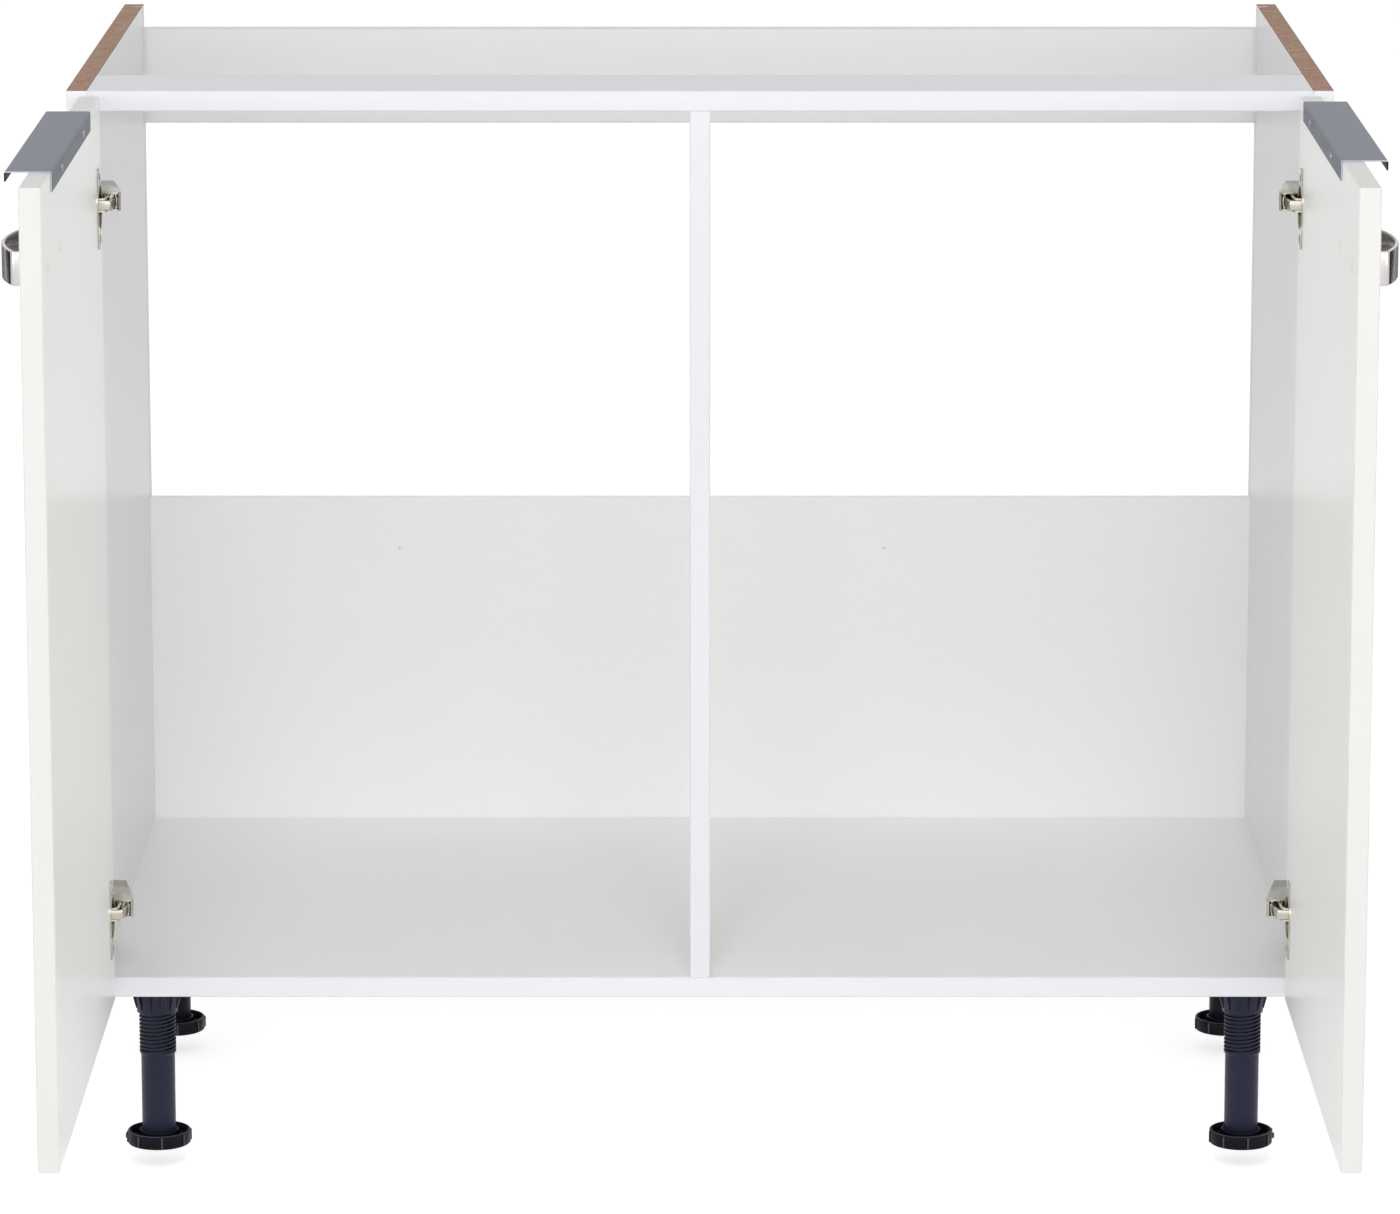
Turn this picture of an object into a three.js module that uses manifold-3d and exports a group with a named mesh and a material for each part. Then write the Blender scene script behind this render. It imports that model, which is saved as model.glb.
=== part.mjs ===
// Sink base cabinet, 975 mm wide, on four screw-adjustable legs, with its two doors open.
//
// The carcass is melamine-faced chipboard: two sides, a bottom, a flat front rail, an upright
// back rail, a low back panel in grooves and a centre post. It has no top and an open upper
// back, so that the bowl and the pipes have room. Each door hangs on two concealed cup hinges.
//
// Millimetres. +Z is up, +X is to the right and the front faces -Y. While it is modelled, x = 0
// is the middle, y = 0 the front of the carcass and z = 0 the floor. Whatever belongs to one
// side is modelled for the left, with x counted from that side's outer face, and mirrored.

import * as THREE from 'three';
import { mergeVertices } from 'three/addons/utils/BufferGeometryUtils.js';
import Module from 'manifold-3d';

const wasm = await Module();
wasm.setup();

// ---- driving dimensions ------------------------------------------------------------------

// carcass
const width = 975;
const bodyHeight = 720;
const depth = 560;
const legHeight = 150; // floor to the underside of the carcass
const board = 16; // sides, bottom, rails and post
const edgeRound = 0.8; // banded front edges
const frontRailDepth = 95;
const backRailHeight = 80;
const backRailDrop = 19; // from the top of the sides to the top of the back rail
const postDepth = 80;
const backPanelHeight = 283; // above the bottom panel
const backPanelThickness = 3.2;
const grooveDepth = 8;
const grooveInset = 18; // from the rear edge to the middle of the groove
const seatGap = 0.3; // wherever one piece sits inside another
const linkHoleRadius = 4; // for the screw that ties the cabinet to the next one
const linkHoleFromFront = 228;
const linkHoleHeight = 312; // above the underside of the carcass

// doors
const doorThickness = 16;
const doorSideGap = 1.5; // at each long edge
const doorTopGap = 3; // below the top of the sides
const doorBottomGap = 1; // above the underside of the carcass
const shutGap = 3; // between carcass and shut door
const openInset = 10.5; // outer face of the open door, in from the side's outer face
const openGap = 10; // between carcass front and the open door's hinge edge
const doorOpens = 100; // degrees from shut to fully open; it is drawn at 90

// concealed hinges
const upperHingeDrop = 83; // below the door's top
const lowerHingeRise = 71; // above the door's bottom
const cupRadius = 17.5;
const cupDepth = 13;
const cupWall = 1;
const cupEdge = 3; // door edge to the cup
const flangeLength = 62;
const flangeWidth = 15;
const flangeThickness = 1.2;
const flangeOffset = 5.5; // from the cup's centre, away from the door's edge
const flangeRim = 0.8; // ring of the flange round the cup
const lugThickness = 1.2; // of the two lugs in the cup, on either side of the links
const lugLength = 13.5;
const lugDrop = 1; // below the door's face
const plateThickness = 2;
const plateLine = 37; // screw line of the plate, behind the carcass front
const plateWing = 26; // half the plate's height
const plateWingRadius = 9;
const plateStart = 8;
const plateEnd = 66;
const plateHalf = 8.5; // half the height of the plate's middle
const railRise = 8; // of the rail that the arm clips over
const railStart = 12;
const railEnd = 60;
const railChamfer = 1;
const armFront = 0.5; // how far the arm's nose reaches past the carcass front
const armEnd = 64;
const armHalf = 7.2; // half the arm's height
const armSheet = 1.4;
const armTopFront = 24.5; // off the side panel's inner face
const armTopRear = 14.5;
const armTailChamfer = 1;
const noseRise = 7.5; // underside of the nose, off the side panel's inner face
const noseBack = 9; // behind the carcass front
const noseLean = 5; // of the nose's rear edge
const noseChamfer = 1.5;
const noseTopChamfer = 2.5;
const pinRadius = 1.25;
const pinBehindFront = 2.7;
const outerPinRise = 14.5; // of the outer link's pin, off the side panel's inner face
const innerPinRise = 20.5;
const cupPivotReach = 13; // from the door's axis to the links' ends in the cup
const eyeRadius = 2.2;
const tipRadius = 1.7;
const tipHoleRadius = 0.8;
const outerCheekIn = 3.9; // half the space between the outer link's cheeks
const outerCheekOut = 5.4;
const innerLinkHalf = 3.5;
const outerLinkBand = 2.2;
const outerLinkWeb = 1.2;
const outerWebOff = 11; // from the end in the cup to the web
const outerWebOffPin = 3.7; // from the pin to the web
const innerLinkBand = 2.2;
const outerTipDrop = 2.1; // of the outer link's end, further from the cup's wall
const outerLinkClear = 2.6; // middle of the band's elbow, off the cup's flange
const innerLinkClear = 6.5;
const linkElbowRise = 0.6; // of the elbow above the end in the cup
const linkKnee = 0.8;
const linkBend = 2.5;

// bow handles
const handleLength = 118;
const handleCentres = 96; // between its two screws
const handleTall = 25;
const handleStrap = 2.8;
const handleReach = 20.5;
const handleShoulder = 7.4; // where the bow starts, off the door
const handleFromFree = 30; // door's free edge to the handle's end
const handleDrop = 62; // door's top to the handle's middle
const handleBoss = 5; // radius of the screw bosses
const handleScrewRadius = 2;
const handleScrewHeadRadius = 4;
const handleScrewHead = 1.6;
const handleThread = 6; // length of screw in the boss

// grip profiles
const gripLength = 318;
const gripSheet = 1;
const gripReach = 17; // past the door's outer face
const gripFlange = 14; // down the door's inner face
const gripLip = 7.5;
const gripFold = 0.6; // inner radius of its folds
const gripFromHinge = { left: 92, right: 36 }; // hinge edge to the near end
const gripScrewFromEnd = 62;
const gripScrewPitch = 178;
const gripScrewRadius = 1.5;
const gripScrewHeadRadius = 3;
const gripScrewHead = 1;
const gripScrewDepth = 11;
const gripScrewDrop = 7.5; // below the door's top
const headTaper = 0.75; // a screw head's top, of its foot

// legs
const frontLegInset = 50; // from the side's outer face
const backLegInset = 37;
const frontLegDepth = 107; // behind the carcass front
const backLegDepth = 455;
const socketHeight = 40;
const socketPlateRadius = 31;
const socketPlate = 4;
const socketRibs = 8;
const socketRibThickness = 1.8;
const socketMouthWall = 1.3;
const socketFlare = 0.55; // of the way from the mouth to the plate's rim, at the plate
const socketFlareRings = [0.3, 0.7, 1]; // how far up the neck
const socketRibStart = 0.1; // how far up the neck
const socketRibProud = 0.6; // at the mouth
const socketRibInset = 1.5; // from the plate's rim
const threadRadius = 14.8;
const threadVisible = 33; // below the socket
const threadHidden = 30; // inside the socket
const tubeRadius = 13.6;
const tubeBore = 11;
const footRadius = 25.4;
const footHeight = 10;
const footFloor = 5.5; // under the tube
const footDish = 4; // its floor, above the ground
const footRim = 2.4;
const footRimChamfer = 0.6;
const footSoleChamfer = 1;
const footHub = 12;
const footHubWall = 2;
const footHubFlare = 0.8; // of the hub at the dish
const footRibs = 8;
const footRibProud = 0.5;
const footRibWidth = 1.4;
const footRibTurn = 0.2; // of a rib's step, from the x axis to the first rib
const footNib = 1.8;
const footNibBottom = 3.5;
const footNibTop = 8;

const turnSteps = 18; // flats round a leg
const boreSteps = 24; // flats round a cup and its bore
const bossSteps = 12; // flats round a handle's boss
const eyeSteps = 10; // flats round a link's eye
const smallSteps = 8; // flats round a screw, a pin and their holes
const arcSteps = 6; // flats along an arc of an outline
const bowSteps = 10; // flats along a handle's bow
const gripFoldSteps = 5;
const linkBendSteps = 3;

const over = 1; // how far a cutting shape reaches past what it cuts
const mergeWithin = 1e-4; // corners this close are one

// ---- derived places ----------------------------------------------------------------------

const bottomOfCarcass = legHeight;
const topOfCarcass = legHeight + bodyHeight;
const floorOfCarcass = bottomOfCarcass + board;
const innerWidth = width - 2 * board;
const grooveWidth = backPanelThickness + seatGap;
const grooveY = depth - grooveInset;

const doorWidth = width / 2 - 2 * doorSideGap;
const doorBottom = bottomOfCarcass + doorBottomGap;
const doorTop = topOfCarcass - doorTopGap;
const doorInner = openInset + doorThickness; // x of the open door's inner face
const doorHingeEdge = -openGap; // y of the open door's hinge edge
const doorFreeEdge = doorHingeEdge - doorWidth;

// The upright line that the door turns about, from its shut and its open place.
const shutOuter = shutGap + doorThickness;
const axisX = (openInset + shutOuter + doorSideGap - openGap) / 2;
const axisY = (doorSideGap - openGap - openInset - shutOuter) / 2;

const cupY = doorHingeEdge - cupEdge - cupRadius;
const hingeHeights = {
  upper: doorTop - upperHingeDrop,
  lower: doorBottom + lowerHingeRise,
};

// Where the links turn on the arm, and where they end in the cup. A link's end lies as far
// from its pin when the door is shut as when it is fully open, so that pin lies on the line
// that halves the angle of the door's whole swing.
const outerPin = new THREE.Vector2(board + outerPinRise, pinBehindFront);
const innerPin = new THREE.Vector2(board + innerPinRise, pinBehindFront);
const doorAxis = new THREE.Vector2(axisX, axisY);

function cupPivot(pin) {
  const swing = THREE.MathUtils.degToRad(doorOpens);
  const drawnAt = Math.PI / 2 - swing / 2;
  const lean = pin.clone().sub(doorAxis).angle() - drawnAt;
  const reach = new THREE.Vector2(Math.cos(lean), Math.sin(lean));
  return doorAxis.clone().addScaledVector(reach, cupPivotReach);
}

const outerTip = cupPivot(outerPin).sub(new THREE.Vector2(0, outerTipDrop));
const innerTip = cupPivot(innerPin);

// ---- finishes ----------------------------------------------------------------------------

const finish = (color, roughness, metalness = 0) =>
  new THREE.MeshStandardMaterial({ color, roughness, metalness });

const whiteBoard = finish(0xf1f1f3, 0.45);
const whiteDoor = finish(0xf0f1ec, 0.25);
const hardboard = finish(0xe9eaeb, 0.5);
const darkPlastic = finish(0x20222d, 0.5);
const nickel = finish(0xb9b5ab, 0.3, 1);
const polishedNickel = finish(0xa9a4a6, 0.15, 1);
const greySheet = finish(0x808896, 0.4, 0.6);
const zincScrew = finish(0xc4c6ca, 0.35, 1);

// ---- solids ------------------------------------------------------------------------------

const point = (x, y) => new THREE.Vector2(x, y);

/** The geometry as one closed mesh: shared vertices, no slivers, faces pointing out. */
function closed(geometry) {
  const bare = geometry.clone();
  bare.deleteAttribute('normal');
  bare.deleteAttribute('uv');
  const merged = mergeVertices(bare, mergeWithin);
  const place = merged.attributes.position;
  const kept = [];
  const corners = [new THREE.Vector3(), new THREE.Vector3(), new THREE.Vector3()];
  let volume = 0;
  for (let i = 0; i < merged.index.count; i += 3) {
    const [a, b, c] = [0, 1, 2].map((k) => merged.index.getX(i + k));
    if (a === b || b === c || c === a) continue;
    [a, b, c].forEach((vertex, k) => corners[k].fromBufferAttribute(place, vertex));
    volume += corners[0].dot(corners[1].cross(corners[2]));
    kept.push([a, b, c]);
  }
  const turned = volume < 0 ? kept.map(([a, b, c]) => [a, c, b]) : kept;
  merged.setIndex(turned.flat());
  return merged;
}

/** A solid that can be joined and cut. */
function solid(geometry) {
  const mesh = closed(geometry);
  return new wasm.Manifold(
    new wasm.Mesh({
      numProp: 3,
      vertProperties: new Float32Array(mesh.attributes.position.array),
      triVerts: new Uint32Array(mesh.index.array),
    }),
  );
}

/** The geometry of a joined or cut solid. */
function shaped(body) {
  const mesh = body.getMesh();
  const geometry = new THREE.BufferGeometry();
  geometry.setAttribute('position', new THREE.BufferAttribute(mesh.vertProperties, 3));
  geometry.setIndex(new THREE.BufferAttribute(mesh.triVerts, 1));
  return geometry;
}

const outline = (points) => new THREE.Shape(points);

/** A rectangle whose corners are cut by `cut`. */
function cutRectangle(x0, y0, x1, y1, cut) {
  return outline([
    point(x0 + cut, y0),
    point(x1 - cut, y0),
    point(x1, y0 + cut),
    point(x1, y1 - cut),
    point(x1 - cut, y1),
    point(x0 + cut, y1),
    point(x0, y1 - cut),
    point(x0, y0 + cut),
  ]);
}

/** An outline in the x-y plane, raised along z. Its end faces can have cut or round rims. */
function alongZ(shape, z0, length, rim = { cut: 0 }) {
  const rise = rim.rise ?? rim.cut;
  const options = {
    depth: length - 2 * rise,
    curveSegments: arcSteps,
    bevelEnabled: rim.cut > 0,
    bevelSize: rim.cut,
    bevelOffset: -rim.cut,
    bevelThickness: rise,
    bevelSegments: rim.steps ?? 1,
  };
  return new THREE.ExtrudeGeometry(shape, options).translate(0, 0, z0 + rise);
}

/** An outline in the y-z plane, drawn out along x. */
function alongX(shape, x0, length, rim) {
  const turn = new THREE.Matrix4().makeBasis(
    new THREE.Vector3(0, 1, 0),
    new THREE.Vector3(0, 0, 1),
    new THREE.Vector3(1, 0, 0),
  );
  return alongZ(shape, x0, length, rim).applyMatrix4(turn);
}

/** An outline in the z-x plane, drawn out along y. */
function alongY(shape, y0, length) {
  const turn = new THREE.Matrix4().makeBasis(
    new THREE.Vector3(0, 0, 1),
    new THREE.Vector3(1, 0, 0),
    new THREE.Vector3(0, 1, 0),
  );
  return alongZ(shape, y0, length).applyMatrix4(turn);
}

/** A profile of [radius, height] pairs, turned about z. */
function turned(profile, steps = turnSteps) {
  const points = profile.map(([radius, height]) => point(radius, height));
  return new THREE.LatheGeometry(points, steps).rotateX(Math.PI / 2);
}

/** A round bar along z. */
const bar = (radius, z0, z1, steps) =>
  turned([[0, z0], [radius, z0], [radius, z1], [0, z1]], steps);

/** Turns what stands along z to lie along x. */
const layAlongX = (geometry) => geometry.rotateY(Math.PI / 2);

/** The corners as one line whose bends have the radius `bend`. */
function roundedLine(corners, bend, steps) {
  const line = [corners[0]];
  for (let i = 1; i < corners.length - 1; i += 1) {
    const back = corners[i - 1].clone().sub(corners[i]).normalize();
    const ahead = corners[i + 1].clone().sub(corners[i]).normalize();
    const half = Math.acos(back.dot(ahead)) / 2;
    const inwards = back.clone().add(ahead).normalize();
    const centre = corners[i].clone().addScaledVector(inwards, bend / Math.sin(half));
    const start = corners[i].clone().addScaledVector(back, bend / Math.tan(half)).sub(centre);
    const sweep = (Math.PI - 2 * half) * Math.sign(back.cross(ahead)) * -1;
    for (let k = 0; k <= steps; k += 1) {
      const spoke = start.clone().rotateAround(point(0, 0), (sweep * k) / steps);
      line.push(spoke.add(centre));
    }
  }
  line.push(corners[corners.length - 1]);
  return line;
}

/** The line moved sideways, to its left when `by` is positive, with mitred corners. */
function beside(line, by) {
  return line.map((here, i) => {
    const before = line[Math.max(i - 1, 0)];
    const after = line[Math.min(i + 1, line.length - 1)];
    const arriving = (i === 0 ? after.clone().sub(here) : here.clone().sub(before)).normalize();
    const leaving = (after === here ? arriving.clone() : after.clone().sub(here)).normalize();
    const along = arriving.clone().add(leaving).normalize();
    const mitre = by / along.dot(arriving);
    return point(here.x - along.y * mitre, here.y + along.x * mitre);
  });
}

/** The outline of a strip of even thickness on both sides of a line. */
function strip(line, thickness) {
  const left = beside(line, thickness / 2);
  const right = beside(line, -thickness / 2);
  return outline([...left, ...right.reverse()]);
}

// ---- placing -----------------------------------------------------------------------------

const sides = { left: -1, right: 1 };

/** A mesh for one side: what is modelled for the left is mirrored for the right. */
function handed(side, geometry) {
  if (side === 'left') return geometry;
  return closed(geometry.clone().scale(-1, 1, 1));
}

function piece(name, geometry, material) {
  const drawn = closed(geometry);
  drawn.computeVertexNormals();
  const mesh = new THREE.Mesh(drawn, material);
  mesh.name = name;
  return mesh;
}

/** A group whose x = 0 is that side's outer face. */
function sideGroup(side) {
  const group = new THREE.Group();
  group.position.x = (sides[side] * width) / 2;
  return group;
}

// ---- carcass -----------------------------------------------------------------------------

/** The groove for the back panel, as the points that it adds to a face at `face`. */
const grooveProfile = (face) => [
  point(face, grooveY - grooveWidth / 2),
  point(face - grooveDepth, grooveY - grooveWidth / 2),
  point(face - grooveDepth, grooveY + grooveWidth / 2),
  point(face, grooveY + grooveWidth / 2),
];

function sidePanel(side) {
  const plan = outline([
    point(edgeRound, 0),
    point(board - edgeRound, 0),
    point(board, edgeRound),
    ...grooveProfile(board),
    point(board, depth),
    point(0, depth),
    point(0, edgeRound),
  ]);
  const panel = alongZ(plan, bottomOfCarcass, bodyHeight);
  if (side === 'left') return panel;
  const hole = layAlongX(bar(linkHoleRadius, -over, board + over, smallSteps));
  hole.translate(0, linkHoleFromFront, bottomOfCarcass + linkHoleHeight);
  return shaped(solid(panel).subtract(solid(hole)));
}

function bottomPanel() {
  const section = outline([
    point(edgeRound, 0),
    point(depth, 0),
    point(depth, board),
    ...grooveProfile(board).reverse().map((p) => point(p.y, p.x)),
    point(edgeRound, board),
    point(0, board - edgeRound),
    point(0, edgeRound),
  ]);
  return alongX(section, -innerWidth / 2, innerWidth).translate(0, 0, bottomOfCarcass);
}

function frontRail() {
  const section = cutRectangle(0, topOfCarcass - board, frontRailDepth, topOfCarcass, edgeRound);
  return alongX(section, -innerWidth / 2, innerWidth);
}

function backRail() {
  const top = topOfCarcass - backRailDrop;
  const section = cutRectangle(depth - board, top - backRailHeight, depth, top, edgeRound);
  return alongX(section, -innerWidth / 2, innerWidth);
}

function backPanel() {
  const reach = innerWidth / 2 + grooveDepth - seatGap;
  const plan = cutRectangle(
    -reach,
    grooveY - backPanelThickness / 2,
    reach,
    grooveY + backPanelThickness / 2,
    seatGap,
  );
  return alongZ(plan, floorOfCarcass - grooveDepth, backPanelHeight + grooveDepth);
}

function centrePost() {
  const plan = cutRectangle(-board / 2, 0, board / 2, postDepth, edgeRound);
  return alongZ(plan, floorOfCarcass, bodyHeight - 2 * board);
}

function carcass() {
  const group = new THREE.Group();
  group.add(
    piece('bottom_panel', bottomPanel(), whiteBoard),
    piece('front_rail', frontRail(), whiteBoard),
    piece('back_rail', backRail(), whiteBoard),
    piece('back_panel', backPanel(), hardboard),
    piece('centre_post', centrePost(), whiteBoard),
  );
  for (const side of Object.keys(sides)) {
    const place = sideGroup(side);
    place.add(piece(`side_panel_${side}`, handed(side, sidePanel(side)), whiteBoard));
    group.add(place);
  }
  return group;
}

// ---- legs --------------------------------------------------------------------------------

const socketBottom = bottomOfCarcass - socketHeight;
const socketBore = threadRadius + seatGap;
const socketMouth = socketBore + socketMouthWall;
const threadBottom = socketBottom - threadVisible;
const threadTop = socketBottom + threadHidden;

/** The flared socket under the bottom panel, with its ribs and its threaded bore. */
function legSocket() {
  const plateUnderside = bottomOfCarcass - socketPlate;
  const neckHeight = plateUnderside - socketBottom;
  const spread = socketPlateRadius - socketMouth;
  const flare = (share) => [
    socketMouth + spread * socketFlare * share ** 2,
    socketBottom + neckHeight * share,
  ];
  const shell = turned([
    [socketBore, socketBottom],
    [socketMouth, socketBottom],
    ...socketFlareRings.map(flare),
    [socketPlateRadius, plateUnderside],
    [socketPlateRadius, bottomOfCarcass],
    [socketBore, bottomOfCarcass],
    [socketBore, socketBottom],
  ]);
  const ribBottom = socketBottom + neckHeight * socketRibStart;
  const ribReach = socketPlateRadius - socketRibInset;
  const gusset = outline([
    point(socketBore + socketMouthWall / 2, ribBottom),
    point(socketMouth + socketRibProud, ribBottom),
    point(ribReach, plateUnderside),
    point(ribReach, plateUnderside + socketPlate / 2),
    point(socketBore + socketMouthWall / 2, plateUnderside + socketPlate / 2),
  ]);
  const rib = alongZ(gusset, -socketRibThickness / 2, socketRibThickness).rotateX(Math.PI / 2);
  const ribs = Array.from({ length: socketRibs }, (_, i) => {
    const angle = (2 * Math.PI * (i + 0.5)) / socketRibs;
    return solid(rib.clone().rotateZ(angle));
  });
  return shaped(ribs.reduce((body, one) => body.add(one), solid(shell)));
}

/** The tube: its thick upper end is the screw that turns in the socket. */
function legTube() {
  const chamfer = threadRadius - tubeRadius;
  return turned([
    [0, footFloor],
    [tubeRadius, footFloor],
    [tubeRadius, threadBottom - chamfer],
    [threadRadius, threadBottom],
    [threadRadius, threadTop - chamfer],
    [tubeRadius, threadTop],
    [tubeBore, threadTop],
    [tubeBore, footFloor + footHubWall],
    [0, footFloor + footHubWall],
  ]);
}

/** The dished foot with its ribbed rim, its hub round the tube and one nib to grip. */
function legFoot(outwards) {
  const hubBore = tubeRadius + seatGap;
  const disc = turned([
    [0, 0],
    [footRadius - footSoleChamfer, 0],
    [footRadius, footSoleChamfer],
    [footRadius, footHeight - footRimChamfer],
    [footRadius - footRimChamfer, footHeight],
    [footRadius - footRim, footHeight],
    [footRadius - footRim - footRimChamfer, footDish],
    [hubBore + footHubWall + footHubFlare, footDish],
    [hubBore + footHubWall, footHub],
    [hubBore, footHub],
    [hubBore, footFloor],
    [0, footFloor],
  ]);
  const block = (proud, wide, z0, z1) => {
    const plan = outline([
      point(footRadius - footRim / 2, -wide / 2),
      point(footRadius + proud, -wide / 4),
      point(footRadius + proud, wide / 4),
      point(footRadius - footRim / 2, wide / 2),
    ]);
    return alongZ(plan, z0, z1 - z0);
  };
  const rib = block(footRibProud, footRibWidth, footSoleChamfer, footHeight - footSoleChamfer);
  const nib = block(footNib, 2 * footRibWidth, footNibBottom, footNibTop);
  const turns = Array.from({ length: footRibs }, (_, i) => (2 * Math.PI * (i + footRibTurn)) / footRibs);
  const grips = turns.map((angle) => solid(rib.clone().rotateZ(angle)));
  grips.push(solid(nib.rotateZ(outwards)));
  return shaped(grips.reduce((body, one) => body.add(one), solid(disc)));
}

const legPlaces = {
  front_left: point(-width / 2 + frontLegInset, frontLegDepth),
  front_right: point(width / 2 - frontLegInset, frontLegDepth),
  back_left: point(-width / 2 + backLegInset, backLegDepth),
  back_right: point(width / 2 - backLegInset, backLegDepth),
};

function legs() {
  const group = new THREE.Group();
  for (const [corner, place] of Object.entries(legPlaces)) {
    const leg = new THREE.Group();
    const outwards = place.x < 0 ? Math.PI : 0;
    leg.position.set(place.x, place.y, 0);
    leg.add(
      piece(`leg_socket_${corner}`, legSocket(), darkPlastic),
      piece(`leg_tube_${corner}`, legTube(), darkPlastic),
      piece(`leg_foot_${corner}`, legFoot(outwards), darkPlastic),
    );
    group.add(leg);
  }
  return group;
}

// ---- doors -------------------------------------------------------------------------------

const handleMiddleY = doorFreeEdge + handleFromFree + handleLength / 2;
const handleMiddleZ = doorTop - handleDrop;
const handleScrewPlaces = { front: -handleCentres / 2, back: handleCentres / 2 };

/** The slab, bored for its two cups, its handle's screws and its grip profile's screws. */
function door(side) {
  const face = outline([
    point(doorFreeEdge, doorBottom),
    point(doorHingeEdge, doorBottom),
    point(doorHingeEdge, doorTop),
    point(doorFreeEdge, doorTop),
  ]);
  let slab = solid(alongX(face, openInset, doorThickness, { cut: edgeRound }));
  for (const height of Object.values(hingeHeights)) {
    const bore = layAlongX(bar(cupRadius + seatGap, -cupDepth - seatGap, over, boreSteps));
    slab = slab.subtract(solid(bore.translate(doorInner, cupY, height)));
  }
  for (const along of Object.values(handleScrewPlaces)) {
    const hole = layAlongX(bar(handleScrewRadius + seatGap, -doorThickness - over, over, smallSteps));
    slab = slab.subtract(solid(hole.translate(doorInner, handleMiddleY + along, handleMiddleZ)));
  }
  for (const place of gripScrewPlaces(side)) {
    const pilot = layAlongX(bar(gripScrewRadius + seatGap, -gripScrewDepth - seatGap, over, smallSteps));
    slab = slab.subtract(solid(pilot.translate(doorInner, place, doorTop - gripScrewDrop)));
  }
  return shaped(slab);
}

/** The bow: a wide strap bent outwards between two ends that stand square on the door. */
function handle() {
  const half = (handleLength - handleStrap) / 2;
  const rise = handleReach - handleStrap / 2 - handleShoulder;
  const radius = (half ** 2 + rise ** 2) / (2 * rise);
  const bow = Array.from({ length: bowSteps + 1 }, (_, i) => {
    const along = half * ((2 * i) / bowSteps - 1);
    return point(-(handleShoulder + rise - radius + Math.sqrt(radius ** 2 - along ** 2)), along);
  });
  const line = [point(0, -half), ...bow, point(0, half)];
  const rim = { cut: handleStrap / 4, rise: handleStrap / 2, steps: 2 };
  let body = solid(alongZ(strip(line, handleStrap), -handleTall / 2, handleTall, rim));
  for (const along of Object.values(handleScrewPlaces)) {
    const bossEnd = handleShoulder + rise * (1 - (along / half) ** 2);
    const boss = layAlongX(bar(handleBoss, -bossEnd, 0, bossSteps)).translate(0, along, 0);
    const thread = layAlongX(bar(handleScrewRadius + seatGap, -handleThread - seatGap, over, smallSteps));
    body = body.add(solid(boss)).subtract(solid(thread.translate(0, along, 0)));
  }
  const face = layAlongX(bar(handleLength, 0, handleBoss, smallSteps));
  body = body.subtract(solid(face));
  return shaped(body).translate(openInset, handleMiddleY, handleMiddleZ);
}

/** A machine screw from the door's inner face into the handle's boss. */
function handleScrew(along) {
  const screw = turned([
    [0, -doorThickness - handleThread],
    [handleScrewRadius, -doorThickness - handleThread],
    [handleScrewRadius, 0],
    [handleScrewHeadRadius, 0],
    [handleScrewHeadRadius * headTaper, handleScrewHead],
    [0, handleScrewHead],
  ], smallSteps);
  return layAlongX(screw).translate(doorInner, handleMiddleY + along, handleMiddleZ);
}

/** The folded sheet along the door's top edge: flange inside, cover on top, lip outside. */
function gripProfile(side) {
  const half = gripSheet / 2;
  const lipX = openInset - gripReach + half;
  const flangeX = doorInner + half;
  const section = strip(
    roundedLine(
      [
        point(doorTop + gripSheet - gripLip, lipX),
        point(doorTop + half, lipX),
        point(doorTop + half, flangeX),
        point(doorTop - gripFlange, flangeX),
      ],
      gripFold + half,
      gripFoldSteps,
    ),
    gripSheet,
  );
  const start = doorHingeEdge - gripFromHinge[side] - gripLength;
  let sheet = solid(alongY(section, start, gripLength));
  for (const place of gripScrewPlaces(side)) {
    const hole = layAlongX(bar(gripScrewRadius + seatGap, -over, gripSheet + over, smallSteps));
    sheet = sheet.subtract(solid(hole.translate(doorInner, place, doorTop - gripScrewDrop)));
  }
  return shaped(sheet);
}

const gripScrewPlaces = (side) => {
  const first = doorHingeEdge - gripFromHinge[side] - gripScrewFromEnd;
  return [first, first - gripScrewPitch];
};

/** A wood screw through the profile's flange. */
function gripScrew(place) {
  const screw = turned([
    [0, -gripScrewDepth],
    [gripScrewRadius, -gripScrewDepth + gripScrewRadius],
    [gripScrewRadius, gripSheet],
    [gripScrewHeadRadius, gripSheet],
    [gripScrewHeadRadius * headTaper, gripSheet + gripScrewHead],
    [0, gripSheet + gripScrewHead],
  ], smallSteps);
  return layAlongX(screw).translate(doorInner, place, doorTop - gripScrewDrop);
}

// ---- concealed hinges --------------------------------------------------------------------

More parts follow.
